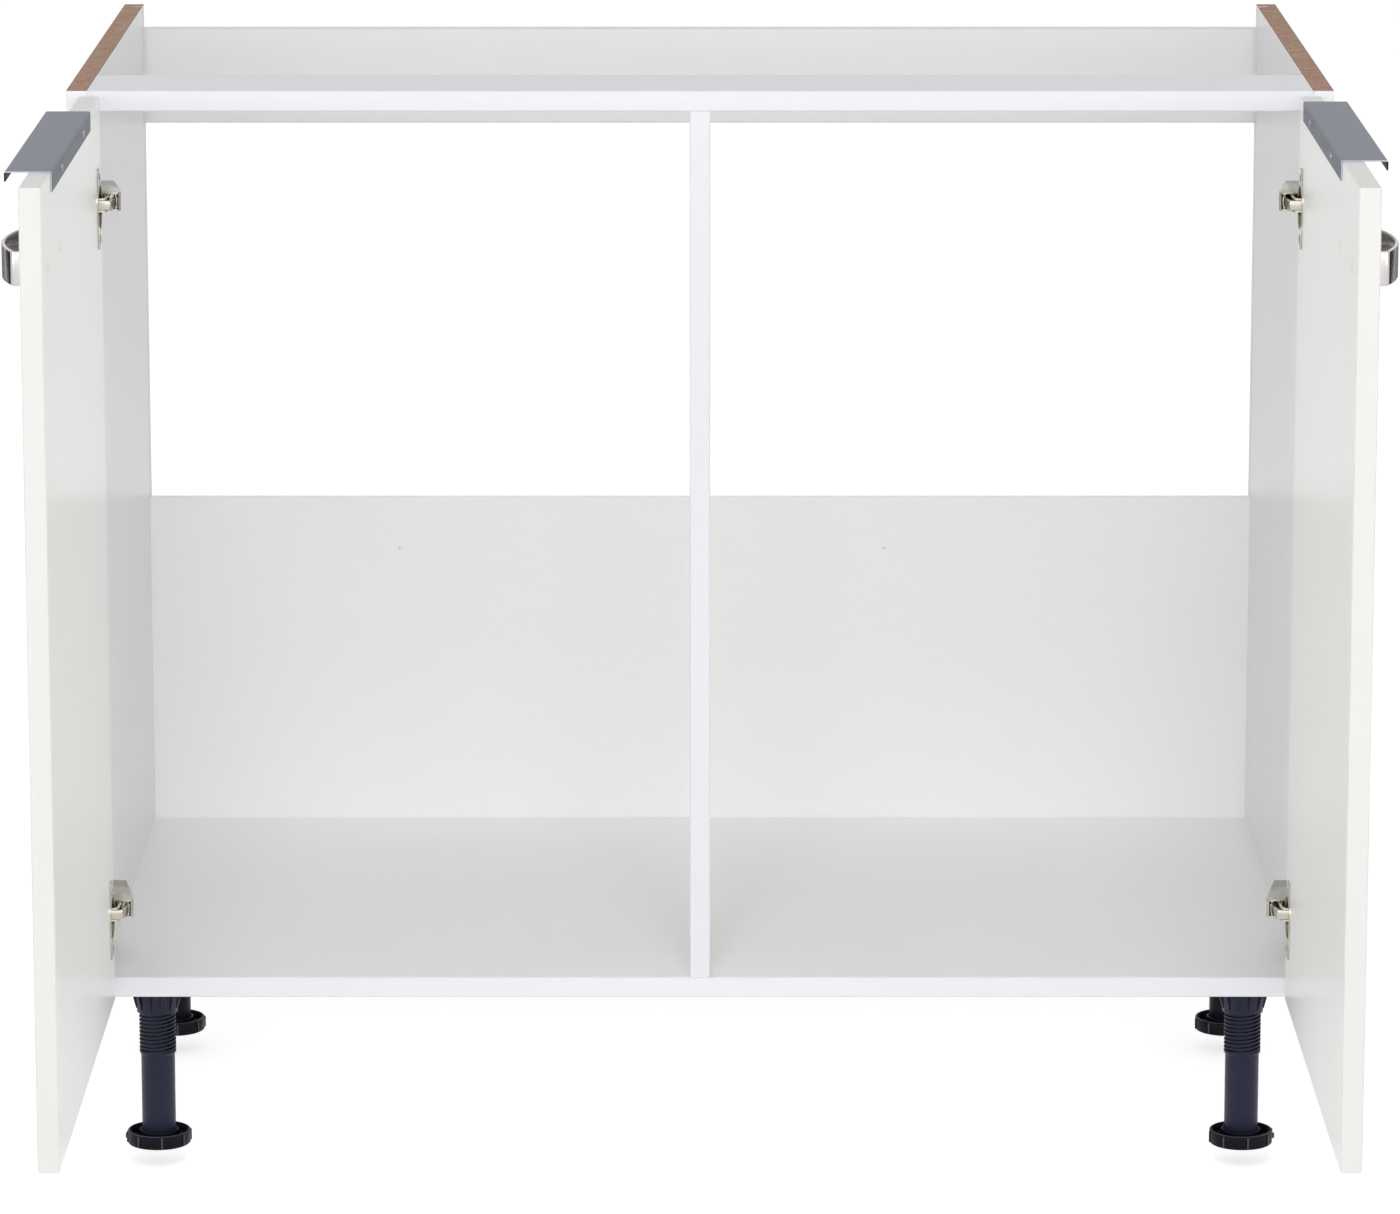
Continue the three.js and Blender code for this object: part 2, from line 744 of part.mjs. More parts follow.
/** The cup in the door, with its lugs and the flange that is screwed to the door's face. */
function hingeCup() {
  const inner = cupRadius - cupWall;
  const cup = turned([
    [0, -cupDepth],
    [inner, -cupDepth],
    [cupRadius, -cupDepth + cupWall],
    [cupRadius, 0],
    [cupRadius + flangeRim, 0],
    [cupRadius + flangeRim, flangeThickness],
    [inner, flangeThickness],
    [inner, -cupDepth + 2 * cupWall],
    [inner - cupWall, -cupDepth + cupWall],
    [0, -cupDepth + cupWall],
  ], boreSteps);
  const end = flangeLength / 2 - flangeWidth / 2;
  const wings = new THREE.Shape();
  wings.absarc(-flangeOffset, end, flangeWidth / 2, 0, Math.PI);
  wings.absarc(-flangeOffset, -end, flangeWidth / 2, Math.PI, 2 * Math.PI);
  const mouth = layAlongX(bar(cupRadius, -over, flangeThickness + over, boreSteps));
  const flange = solid(alongX(wings, 0, flangeThickness)).subtract(solid(mouth));
  let body = solid(layAlongX(cup)).add(flange);
  const lugFrom = outerCheekOut + seatGap;
  const lugEdge = Math.sqrt((cupRadius - cupWall / 2) ** 2 - (lugFrom + lugThickness) ** 2);
  const lugSide = outline([
    point(-cupDepth + cupWall / 2, lugEdge),
    point(-lugDrop, lugEdge),
    point(-lugDrop, lugEdge - lugLength / 2),
    point(-cupDepth / 2, lugEdge - lugLength),
    point(-cupDepth + cupWall / 2, lugEdge - lugLength),
  ]);
  for (const start of [lugFrom, -lugFrom - lugThickness]) {
    body = body.add(solid(alongZ(lugSide, start, lugThickness)));
  }
  return shaped(body).translate(doorInner, cupY, 0);
}

/** The cross-shaped plate on the side panel, with the rail that the arm clips over. */
function hingePlate() {
  const wingIn = plateLine - plateWingRadius;
  const wingOut = plateLine + plateWingRadius;
  const cross = new THREE.Shape();
  cross.moveTo(plateStart, -plateHalf);
  cross.lineTo(wingIn, -plateHalf);
  cross.lineTo(wingIn, -plateWing + plateWingRadius);
  cross.absarc(plateLine, -plateWing + plateWingRadius, plateWingRadius, Math.PI, 2 * Math.PI);
  cross.lineTo(wingOut, -plateHalf);
  cross.lineTo(plateEnd, -plateHalf);
  cross.lineTo(plateEnd, plateHalf);
  cross.lineTo(wingOut, plateHalf);
  cross.absarc(plateLine, plateWing - plateWingRadius, plateWingRadius, 0, Math.PI);
  cross.lineTo(wingIn, plateHalf);
  cross.lineTo(plateStart, plateHalf);
  const railHalf = armHalf - armSheet - seatGap;
  const rail = cutRectangle(railStart, -railHalf, railEnd, railHalf, railChamfer);
  const base = solid(alongX(cross, board, plateThickness));
  return shaped(base.add(solid(alongX(rail, board, plateThickness + railRise))));
}

/** The arm: a channel that narrows to the rear, with the two link pins across its nose. */
function hingeArm() {
  const seat = board + plateThickness;
  const front = -armFront;
  const topFront = board + armTopFront;
  const topRear = board + armTopRear;
  const outside = outline([
    point(seat, noseBack + noseLean),
    point(board + noseRise, noseBack),
    point(board + noseRise, front + noseChamfer),
    point(board + noseRise + noseChamfer, front),
    point(topFront - noseTopChamfer, front),
    point(topFront, front + noseTopChamfer),
    point(topFront, noseBack),
    point(topRear, armEnd - armTailChamfer),
    point(topRear - armTailChamfer, armEnd),
    point(seat, armEnd),
  ]);
  const channel = outline([
    point(board - over, front - over),
    point(topFront - armSheet, front - over),
    point(topFront - armSheet, noseBack),
    point(topRear - armSheet, armEnd - armTailChamfer),
    point(topRear - armSheet, armEnd + over),
    point(board - over, armEnd + over),
  ]);
  const inside = armHalf - armSheet;
  let body = solid(alongZ(outside, -armHalf, 2 * armHalf));
  body = body.subtract(solid(alongZ(channel, -inside, 2 * inside)));
  for (const pin of [outerPin, innerPin]) {
    const across = bar(pinRadius, -armHalf + armSheet / 2, armHalf - armSheet / 2, smallSteps);
    body = body.add(solid(across.translate(pin.x, pin.y, 0)));
  }
  return shaped(body);
}

/** The line of a link: out of the arm's nose, past the cup's rim and down into the cup. */
function linkLine(pin, tip, clear) {
  const elbow = point(doorInner + flangeThickness + clear, tip.y + linkElbowRise);
  const knee = point(elbow.x + linkKnee, (pin.y + elbow.y) / 2);
  return roundedLine([pin, knee, elbow, tip], linkBend, linkBendSteps);
}

/** A link's band with an eye round its pin and another at the tip in the cup. */
function linkBlank(pin, tip, line, band, half) {
  const eye = bar(eyeRadius, -half, half, eyeSteps).translate(pin.x, pin.y, 0);
  const end = bar(tipRadius, -half, half, eyeSteps).translate(tip.x, tip.y, 0);
  return solid(alongZ(strip(line, band), -half, 2 * half)).add(solid(eye)).add(solid(end));
}

function linkBored(body, pin, tip) {
  const reach = 2 * armHalf;
  const pinHole = bar(pinRadius + seatGap, -reach, reach, smallSteps).translate(pin.x, pin.y, 0);
  const tipHole = bar(tipHoleRadius, -reach, reach, smallSteps).translate(tip.x, tip.y, 0);
  return shaped(body.subtract(solid(pinHole)).subtract(solid(tipHole)));
}

/** The outer link: two cheeks with a web between them along their outer edge. */
function outerLink() {
  const line = linkLine(outerPin, outerTip, outerLinkClear);
  const blank = linkBlank(outerPin, outerTip, line, outerLinkBand, outerCheekOut);
  const space = beside(line, outerLinkWeb);
  const clearing = [[outerPin, outerWebOffPin], [outerTip, outerWebOff]].map(([place, radius]) => {
    const room = bar(radius, -outerCheekIn, outerCheekIn, eyeSteps);
    return solid(room.translate(place.x, place.y, 0));
  });
  const between = solid(alongZ(strip(space, outerLinkBand), -outerCheekIn, 2 * outerCheekIn));
  const body = clearing.reduce((left, room) => left.subtract(room), blank.subtract(between));
  return linkBored(body, outerPin, outerTip);
}

/** The inner link: one narrow band between the outer link's cheeks. */
function innerLink() {
  const line = linkLine(innerPin, innerTip, innerLinkClear);
  const blank = linkBlank(innerPin, innerTip, line, innerLinkBand, innerLinkHalf);
  return linkBored(blank, innerPin, innerTip);
}

// ---- one side's door and hinges ----------------------------------------------------------

function doorSide(side) {
  const group = sideGroup(side);
  const add = (name, geometry, material) =>
    group.add(piece(`${name}_${side}`, handed(side, geometry), material));
  add('door', door(side), whiteDoor);
  add('door_handle', handle(), polishedNickel);
  for (const [end, along] of Object.entries(handleScrewPlaces)) {
    add(`handle_screw_${end}`, handleScrew(along), zincScrew);
  }
  add('grip_profile', gripProfile(side), greySheet);
  gripScrewPlaces(side).forEach((place, i) => {
    add(`grip_screw_${['back', 'front'][i]}`, gripScrew(place), zincScrew);
  });
  for (const [level, height] of Object.entries(hingeHeights)) {
    const raised = (geometry) => geometry.translate(0, 0, height);
    add(`hinge_cup_${level}`, raised(hingeCup()), nickel);
    add(`hinge_plate_${level}`, raised(hingePlate()), nickel);
    add(`hinge_arm_${level}`, raised(hingeArm()), nickel);
    add(`hinge_outer_link_${level}`, raised(outerLink()), nickel);
    add(`hinge_inner_link_${level}`, raised(innerLink()), nickel);
  }
  return group;
}

// ---- the cabinet -------------------------------------------------------------------------

const cabinet = new THREE.Group();
cabinet.name = 'sink_base_cabinet';
cabinet.add(carcass(), legs(), doorSide('left'), doorSide('right'));

// The origin goes to the floor, under the middle of everything from the open doors' free
// edges to the rear of the sides.
cabinet.position.y = -(doorFreeEdge + depth) / 2;

export default cabinet;
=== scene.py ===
# %% [markdown]
# # A sink base cabinet, dressed in Blender
#
# The shapes that matter for fitting and moving come from CAD. Here they get the surfaces that
# make them look real: coated chipboard, raw cut edges, moulded plastic and plated metal. Small
# parts that a camera sees closely, such as legs, handles and screws, are modelled again with
# their true edges, threads and slots.
#
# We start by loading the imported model. Every piece below is placed by what it reports, so a
# change in CAD carries through.

# %% Load the cabinet
import math

import bpy
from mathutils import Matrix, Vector


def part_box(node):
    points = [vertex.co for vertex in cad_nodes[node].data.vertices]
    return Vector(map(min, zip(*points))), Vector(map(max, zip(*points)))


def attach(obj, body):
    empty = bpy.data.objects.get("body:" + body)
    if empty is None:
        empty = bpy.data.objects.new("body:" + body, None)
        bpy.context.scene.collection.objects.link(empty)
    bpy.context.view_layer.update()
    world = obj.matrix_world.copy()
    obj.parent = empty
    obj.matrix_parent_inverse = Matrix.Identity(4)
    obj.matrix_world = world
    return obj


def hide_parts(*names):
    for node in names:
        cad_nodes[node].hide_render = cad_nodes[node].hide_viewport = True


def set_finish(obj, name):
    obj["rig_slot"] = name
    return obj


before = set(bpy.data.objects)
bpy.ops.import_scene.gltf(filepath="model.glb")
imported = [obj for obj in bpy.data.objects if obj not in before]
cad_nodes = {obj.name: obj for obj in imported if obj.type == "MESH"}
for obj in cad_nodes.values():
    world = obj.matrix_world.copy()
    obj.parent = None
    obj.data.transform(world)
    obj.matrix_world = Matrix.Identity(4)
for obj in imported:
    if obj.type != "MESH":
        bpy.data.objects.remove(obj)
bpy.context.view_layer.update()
SIDES = {"left": -1, "right": 1}
LEVELS = ("upper", "lower")
CORNERS = ("front_left", "front_right", "back_left", "back_right")
MM = 0.001
MICRON = 0.000001

# %% [markdown]
# ## The camera
#
# The cabinet is seen straight from the front and from a little above, through a long lens: the
# two open doors flare outwards only slightly, and the rear edge of the sides shows just above
# the front one. A camera a little over five metres off, tipped down by some twelve degrees,
# gives that. A level camera with a lens shift would keep the verticals parallel, but the shift
# would be so large that no other view of the cabinet could be taken with it.

# %% Camera
CARCASS_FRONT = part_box("side_panel_left")[0].y
CAMERA_DISTANCE = 5.300
CAMERA_HEIGHT = 1.570
CAMERA_TILT = 11.78
FOCAL_PIXELS = 6935
PHOTO_WIDTH = 1400
SENSOR = 36.0

camera_data = bpy.data.cameras.new("camera")
camera_data.sensor_width = SENSOR
camera_data.lens = FOCAL_PIXELS / PHOTO_WIDTH * SENSOR
camera_data.clip_end = 100
camera = bpy.data.objects.new("camera", camera_data)
camera.location = (0, CARCASS_FRONT - CAMERA_DISTANCE, CAMERA_HEIGHT)
camera.rotation_euler = (math.radians(90 - CAMERA_TILT), 0, 0)
bpy.context.scene.collection.objects.link(camera)
bpy.context.scene.camera = camera
print("camera at", [round(v, 3) for v in camera.location], "lens", round(camera_data.lens, 1))

# %% [markdown]
# ## Finishes
#
# A finish is a set of shader nodes. Most of ours need the same few steps: read a place on the
# piece, turn it into a fine or a coarse pattern, and let that pattern move the colour, the
# roughness and the bump a little. The small class below keeps those steps short. All patterns
# use object coordinates: every piece keeps its origin in the same spot, so a pattern has its
# true size in metres and stays where it is when a door swings.


# %% Helpers for the finishes
def srgb(red, green, blue):
    """A colour as a screen shows it, 0 to 255, in the linear numbers that a shader takes."""
    linear = []
    for value in (red, green, blue):
        share = value / 255
        linear.append(share / 12.92 if share <= 0.04045 else ((share + 0.055) / 1.055) ** 2.4)
    return (*linear, 1.0)


class Finish:
    """A material with its main shader, and short ways to add nodes to it."""

    def __init__(self, name, colour, roughness, metallic=0.0):
        self.material = bpy.data.materials.new(name)
        self.material.use_nodes = True
        self.tree = self.material.node_tree
        self.shader = self.tree.nodes["Principled BSDF"]
        self.shader.inputs["Base Color"].default_value = srgb(*colour)
        self.shader.inputs["Roughness"].default_value = roughness
        self.shader.inputs["Metallic"].default_value = metallic
        self.place = self.add("ShaderNodeTexCoord").outputs["Object"]

    def add(self, kind, **settings):
        """A new node of that kind."""
        made = self.tree.nodes.new(kind)
        for name, value in settings.items():
            setattr(made, name, value)
        return made

    def feed(self, socket, value):
        """Links another node's output to a socket, or sets the socket to a plain value."""
        if isinstance(value, bpy.types.NodeSocket):
            self.tree.links.new(value, socket)
        else:
            socket.default_value = value

    def stretched(self, stretch):
        """The place on the piece, with each axis scaled by its own number."""
        mapping = self.add("ShaderNodeMapping")
        self.feed(mapping.inputs["Vector"], self.place)
        mapping.inputs["Scale"].default_value = stretch
        return mapping.outputs["Vector"]

    def noise(self, scale, detail=2.0, stretch=None, rough=0.5):
        """A cloudy pattern with `scale` spots to the metre."""
        pattern = self.add("ShaderNodeTexNoise")
        self.feed(pattern.inputs["Vector"], self.stretched(stretch) if stretch else self.place)
        pattern.inputs["Scale"].default_value = scale
        pattern.inputs["Detail"].default_value = detail
        pattern.inputs["Roughness"].default_value = rough
        return pattern.outputs["Fac"]

    def cells(self, scale):
        """How far a point is from the middle of its cell, with `scale` cells to the metre."""
        pattern = self.add("ShaderNodeTexVoronoi")
        self.feed(pattern.inputs["Vector"], self.place)
        pattern.inputs["Scale"].default_value = scale
        return pattern.outputs["Distance"]

    def ramp(self, value, *stops):
        """Colours by `value`: each stop is (position, colour as on a screen)."""
        ramp = self.add("ShaderNodeValToRGB")
        self.feed(ramp.inputs["Fac"], value)
        band = ramp.color_ramp
        while len(band.elements) < len(stops):
            band.elements.new(0.5)
        for element, (position, colour) in zip(band.elements, stops):
            element.position = position
            element.color = srgb(*colour)
        return ramp.outputs["Color"]

    def spread(self, value, low, high, start=0.3, end=0.7):
        """`value` from start to end, as a number from low to high."""
        span = self.add("ShaderNodeMapRange")
        self.feed(span.inputs["Value"], value)
        span.inputs["From Min"].default_value = start
        span.inputs["From Max"].default_value = end
        span.inputs["To Min"].default_value = low
        span.inputs["To Max"].default_value = high
        return span.outputs["Result"]

    def sum(self, operation, first, second):
        """One step of arithmetic, such as ADD, MAXIMUM or LESS_THAN."""
        maths = self.add("ShaderNodeMath", operation=operation)
        self.feed(maths.inputs[0], first)
        self.feed(maths.inputs[1], second)
        return maths.outputs["Value"]

    def along(self, axis):
        """A point's place along "X", "Y" or "Z", in metres."""
        split = self.add("ShaderNodeSeparateXYZ")
        self.feed(split.inputs["Vector"], self.place)
        return split.outputs[axis]

    def away(self, axis, place=0.0):
        """How far a point lies from `place` along an axis, whichever side it is on."""
        return self.sum("ABSOLUTE", self.sum("SUBTRACT", self.along(axis), place), 0)

    def all_of(self, first, *others):
        """1 where every one of the masks is 1."""
        for mask in others:
            first = self.sum("MULTIPLY", first, mask)
        return first

    def mix(self, share, first, second):
        """The second colour where `share` is 1, and the first where it is 0."""
        blend = self.add("ShaderNodeMix", data_type="RGBA")
        self.feed(blend.inputs["Factor"], share)
        self.feed(blend.inputs[6], first)
        self.feed(blend.inputs[7], second)
        return blend.outputs[2]

    def colour(self, value):
        self.feed(self.shader.inputs["Base Color"], value)

    def roughness(self, value):
        self.feed(self.shader.inputs["Roughness"], value)

    def bump(self, height, depth):
        """Raises the surface by `depth` metres where `height` is 1."""
        bump = self.add("ShaderNodeBump")
        bump.inputs["Strength"].default_value = 1.0
        bump.inputs["Distance"].default_value = depth
        self.feed(bump.inputs["Height"], height)
        self.feed(self.shader.inputs["Normal"], bump.outputs["Normal"])


def cover(finish, slot_name, *objects):
    """Gives objects this finish, and says which of the cabinet's finishes it is."""
    for each in objects:
        each.data.materials.clear()
        each.data.materials.append(finish.material)
        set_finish(each, slot_name)


# %% [markdown]
# ## Coated chipboard
#
# The carcass is chipboard with a white melamine skin. The skin is pressed against a fine
# structured plate, so it has a faint grain that shows only where light grazes it, and no gloss
# like glass. Front edges carry a smooth plastic band, a shade cooler than the skin. The edges
# that nobody sees in a kitchen are left as they were sawn: pressed chips, brown and a little
# pink, coarse in the middle, finer and darker along the two faces. The raw edges could be
# separate pieces, but they are the same board, so one finish draws them by place: where a
# point lies on a sawn side of its panel, it is chipboard.


# %% Chipboard and its white skin
SKIN = 60 * MICRON
WHITE_SKIN = (240, 240, 240)
CLOUDINESS = 2
SKIN_ROUGH = (0.31, 0.34)
PORES = 1500
PORE_SHARE = 0.05
EDGE_BAND = (238, 238, 243)
BAND = 0.9 * MM
CHIPS = 430
FLAKES = 620
FLAKE_SHARE = 0.35
CHIP_STOPS = (
    (0.20, (122, 92, 74)),
    (0.42, (164, 128, 108)),
    (0.58, (186, 150, 130)),
    (0.80, (214, 182, 156)),
)
RED_CHIPS = (164, 112, 102)
OLIVE_CHIPS = (168, 142, 112)
CHIP_PATCHES = ((95, 0.4, RED_CHIPS), (60, 0.45, OLIVE_CHIPS))
PATCH_SHARE = 0.6
FACE_LAYER = 0.6 * MM
FACE_CHIPS = (112, 92, 86)
FACE_SHARE = 0.6
SAWN_ROUGH = 0.85
SAWN_RELIEF = 120 * MICRON


def lighter(colour, step):
    """The same colour with each of its three numbers raised, or lowered, by `step`."""
    return [value + step for value in colour]


def chipboard(finish, panel):
    """The colour and the height of pressed chips, finer and darker along the two faces."""
    chips = finish.noise(CHIPS, 5, (1, 1, 1), 0.72)
    flakes = finish.sum("MULTIPLY", finish.cells(FLAKES), FLAKE_SHARE)
    pressed = finish.sum("ADD", flakes, chips)
    wood = finish.ramp(finish.sum("SUBTRACT", pressed, 0.1), *CHIP_STOPS)
    for scale, begin, colour in CHIP_PATCHES:
        patches = finish.spread(finish.noise(scale, 2), 0.0, PATCH_SHARE, begin, 0.65)
        wood = finish.mix(patches, wood, srgb(*colour))
    low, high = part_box(panel)
    thin = min(range(3), key=lambda i: high[i] - low[i])
    off_middle = finish.away("XYZ"[thin], (low[thin] + high[thin]) / 2)
    near_face = (high[thin] - low[thin]) / 2 - FACE_LAYER
    near_face = finish.sum("GREATER_THAN", off_middle, near_face)
    near_face = finish.sum("MULTIPLY", near_face, FACE_SHARE)
    return finish.mix(near_face, wood, srgb(*FACE_CHIPS)), pressed


def white_board(panel, raw, grain, skin_light_step, band_light_step, painted_tint):
    """White coated board. `raw` lists the sawn faces as (axis, place, which side of it).

    Each board has its own steps of painted light and shade: how much lighter or darker its skin
    and its edge band are, and how much bluer its skin is, for the light that falls on it."""
    finish = Finish(panel, WHITE_SKIN, SKIN_ROUGH[0])
    cloud = finish.noise(9, 3)
    red, green, blue = lighter(WHITE_SKIN, skin_light_step)
    middle = (red, green, blue + painted_tint)
    shades = lighter(middle, -CLOUDINESS), lighter(middle, CLOUDINESS)
    skin = finish.ramp(cloud, (0.0, shades[0]), (1.0, shades[1]))
    banded = finish.sum("LESS_THAN", finish.along("Y"), CARCASS_FRONT + BAND)
    skin = finish.mix(banded, skin, srgb(*lighter(EDGE_BAND, band_light_step)))
    sawn = 0
    for axis, place, side in raw:
        test = "GREATER_THAN" if side > 0 else "LESS_THAN"
        face = finish.sum(test, finish.along(axis), place - side * SKIN)
        sawn = finish.sum("MAXIMUM", sawn, face)
    wood, pressed = chipboard(finish, panel)
    finish.colour(finish.mix(sawn, skin, wood))
    rough = finish.spread(cloud, *SKIN_ROUGH, 0.0, 1.0)
    rough = finish.sum("MAXIMUM", rough, finish.sum("MULTIPLY", sawn, SAWN_ROUGH))
    finish.roughness(rough)
    pores = finish.sum("MULTIPLY", finish.noise(PORES, 3, grain, 0.6), PORE_SHARE)
    cuts = finish.sum("MULTIPLY", sawn, finish.sum("SUBTRACT", pressed, 0.5))
    finish.bump(finish.sum("ADD", pores, cuts), SAWN_RELIEF)
    return finish


def sawn_faces(node, *sides):
    """The place of a node's faces, for sides such as "+Z" or "-Y"."""
    low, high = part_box(node)
    faces = []
    for side in sides:
        axis = side[1]
        corner = high if side[0] == "+" else low
        faces.append((axis, corner["XYZ".index(axis)], 1 if side[0] == "+" else -1))
    return faces


# %% The carcass's boards: sawn sides, grain, and painted light steps of skin, band and tint
UPRIGHT_GRAIN = (1.6, 1.6, 0.5)
LEVEL_GRAIN = (0.5, 1.6, 1.6)
# Painted light and shade: each board's last three numbers make its skin and band lighter or
# darker, and its skin bluer, for how light falls on it.
BOARDS = {
    "side_panel_left": (("+Z", "-Z", "+Y"), UPRIGHT_GRAIN, -4, 0, 0),
    "side_panel_right": (("+Z", "-Z", "+Y"), UPRIGHT_GRAIN, -4, 0, 0),
    "bottom_panel": (("+Y",), LEVEL_GRAIN, 8, 2, 0),
    "front_rail": (("+Y",), LEVEL_GRAIN, -7, -6, 4),
    "back_rail": (("-Z",), LEVEL_GRAIN, -12, 0, 0),
    "centre_post": (("+Y",), UPRIGHT_GRAIN, 0, -4, 0),
}
for panel, (sides, grain, *steps) in BOARDS.items():
    finish = white_board(panel, sawn_faces(panel, *sides), grain, *steps)
    cover(finish, "white_board", cad_nodes[panel])
    print("white board:", panel, "sawn at", sides)

# %% [markdown]
# ## The low back panel
#
# A thin sheet of hardboard slides in the grooves. Its front is printed white, with a faint
# grain that runs across, and two small specks near its top. Its rear is bare pressed fibre,
# mid brown. Again one finish does both: points on the rear face are fibre.

# %% Hardboard
SPECKS = (-0.258, 0.158)
SPECK_DROP = 45 * MM
SPECK_RADIUS = 1.2 * MM
SPECK_COLOUR = (218, 217, 214)
PRINT_ROUGH = 0.32
FIBRE_ROUGH = 0.77
PANEL_RELIEF = 3 * MICRON


def spot(finish, radius, **centre):
    """1 within `radius` of a line, whose place is given for two axes, and 0 elsewhere."""
    squares = []
    for axis, place in centre.items():
        squares.append(finish.sum("POWER", finish.away(axis, place), 2))
    return finish.sum("LESS_THAN", finish.sum("ADD", *squares), radius**2)


panel_low, panel_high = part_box("back_panel")
hardboard = Finish("hardboard", (246, 246, 246), PRINT_ROUGH)
streaks = hardboard.noise(260, 4, (0.12, 1, 1), 0.6)
printed = hardboard.ramp(streaks, (0.0, (246, 246, 246)), (1.0, (252, 252, 252)))
for speck_x in SPECKS:
    speck = spot(hardboard, SPECK_RADIUS, X=speck_x, Z=panel_high.z - SPECK_DROP)
    printed = hardboard.mix(speck, printed, srgb(*SPECK_COLOUR))
fibre = hardboard.noise(700, 6, (1, 1, 1), 0.7)
bare = hardboard.ramp(fibre, (0.3, (112, 82, 58)), (0.5, (140, 106, 77)), (0.72, (164, 130, 98)))
rear = hardboard.sum("GREATER_THAN", hardboard.along("Y"), panel_high.y - SKIN)
hardboard.colour(hardboard.mix(rear, printed, bare))
hardboard.roughness(hardboard.spread(rear, PRINT_ROUGH, FIBRE_ROUGH, 0.0, 1.0))
hardboard.bump(hardboard.mix(rear, streaks, fibre), PANEL_RELIEF)
cover(hardboard, "hardboard", cad_nodes["back_panel"])
print("hardboard:", round((panel_high.y - panel_low.y) / MM, 1), "mm thick")

# %% [markdown]
# ## Doors
#
# The doors are the same kind of board with a warmer, smoother skin: a calm white with a hint
# of green, satin enough to mirror the light softly. An open door is seen almost edge on, where
# even a faint change of gloss turns into a blot, so the gloss is kept nearly even and the bump
# is no more than a very fine peel. The front and the edges are painted a shade darker than the
# inner face, as painted shade against the front lamp. Low on the inner face is one small pilot
# mark, a dark disc that stands for the shade in its dimple.

# %% Door skin
DOOR_INNER = -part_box("door_left")[1].x
PILOT_MARK = {"Y": -0.427, "Z": 0.210}
MARK_RADIUS = 1.2 * MM
PILOT_SHADE_COLOUR = (150, 148, 142)
PEEL = 1.5 * MICRON

door_skin = Finish("door_skin", (226, 227, 223), 0.26)
tone = door_skin.noise(5, 2)
# Painted shade: the front and the edges are a darker copy of the inner face's white.
shaded_front_skin = door_skin.ramp(tone, (0.0, (225, 226, 222)), (1.0, (228, 229, 225)))
inner_skin = door_skin.ramp(tone, (0.0, (244, 245, 240)), (1.0, (247, 248, 243)))
# Painted shade: the pilot mark is a flat dark disc that stands for the shade in a shallow dimple.
marked = spot(door_skin, MARK_RADIUS, **PILOT_MARK)
inner_skin = door_skin.mix(marked, inner_skin, srgb(*PILOT_SHADE_COLOUR))
on_inner = door_skin.sum("LESS_THAN", door_skin.away("X"), DOOR_INNER + SKIN)
door_skin.colour(door_skin.mix(on_inner, shaded_front_skin, inner_skin))
door_skin.roughness(door_skin.spread(tone, 0.27, 0.29, 0.0, 1.0))
door_skin.bump(door_skin.noise(900, 2), PEEL)
cover(door_skin, "door_board", *[cad_nodes[f"door_{side}"] for side in SIDES])
print("doors' inner faces", round(DOOR_INNER / MM, 1), "mm from the middle")

# %% [markdown]
# ## Plastic and metals
#
# The legs are moulded in a blue-black plastic with a satin skin and a fine, even texture. The
# back pair gets a darker copy of that plastic as painted shade. Their feet are nearly black,
# and the ribs and lip on their rims are a paler blue as a painted highlight. The hinges are
# nickel-plated steel, warm and bright. The handles are satin nickel. The grip profiles are
# folded sheet with a blue-grey coat that has a fine brushed line, bright where the sheet is
# cut; the hollow inside the lip is painted near black as shade. The screws are bright zinc.


# %% Plastics
def moulded(name, dark, light, gloss=0.22):
    """A satin moulded plastic between two close shades."""
    plastic = Finish(name, dark, 0.42)
    plastic.shader.inputs["Specular IOR Level"].default_value = gloss
    plastic.colour(plastic.ramp(plastic.noise(120, 3), (0.0, dark), (1.0, light)))
    plastic.roughness(plastic.spread(plastic.noise(300, 2), 0.36, 0.46, 0.0, 1.0))
    plastic.bump(plastic.noise(2600, 2), 12 * MICRON)
    return plastic


leg_plastic = moulded("leg_plastic", (24, 26, 45), (30, 33, 55))
# Painted shade: the back legs get a darker copy of the same leg plastic.
shaded_back_leg_plastic = moulded("shaded_back_leg_plastic", (11, 12, 20), (16, 17, 28), 0.12)
foot_plastic = moulded("foot_plastic", (8, 9, 16), (13, 14, 23), 0.1)
# Painted highlight: this paler blue on the feet's rim ribs and lip stands for the light they
# catch.
rim_highlight_plastic = moulded("rim_highlight_plastic", (58, 61, 80), (68, 71, 92), 0.3)

# %% Nickel on the hinges and the handles
nickel = Finish("hinge_nickel", (178, 173, 162), 0.25, 1.0)
nickel.colour(nickel.ramp(nickel.noise(150, 3), (0.0, (168, 163, 150)), (1.0, (188, 184, 174))))
nickel.roughness(nickel.spread(nickel.noise(400, 3), 0.2, 0.27, 0.0, 1.0))
nickel.bump(nickel.noise(1500, 2), 2 * MICRON)

handle_metal = Finish("handle_metal", (190, 185, 184), 0.2, 1.0)
brushed = handle_metal.noise(2400, 3, (1, 0.06, 1))
handle_metal.colour(handle_metal.ramp(brushed, (0.0, (184, 179, 179)), (1.0, (197, 192, 192))))
handle_metal.roughness(handle_metal.spread(brushed, 0.17, 0.24, 0.0, 1.0))
handle_metal.bump(brushed, 0.6 * MICRON)

# %% The coat of the grip profiles, with painted shade under their lip
GRIP_LOW, GRIP_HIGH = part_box("grip_profile_left")
DOOR_OUTER = -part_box("door_left")[0].x
DOOR_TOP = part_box("door_left")[1].z
GRIP_SHEET = GRIP_HIGH.z - DOOR_TOP
CUT_SHEET = (176, 181, 193)
PAINTED_LIP_SHADE = (14, 15, 26)

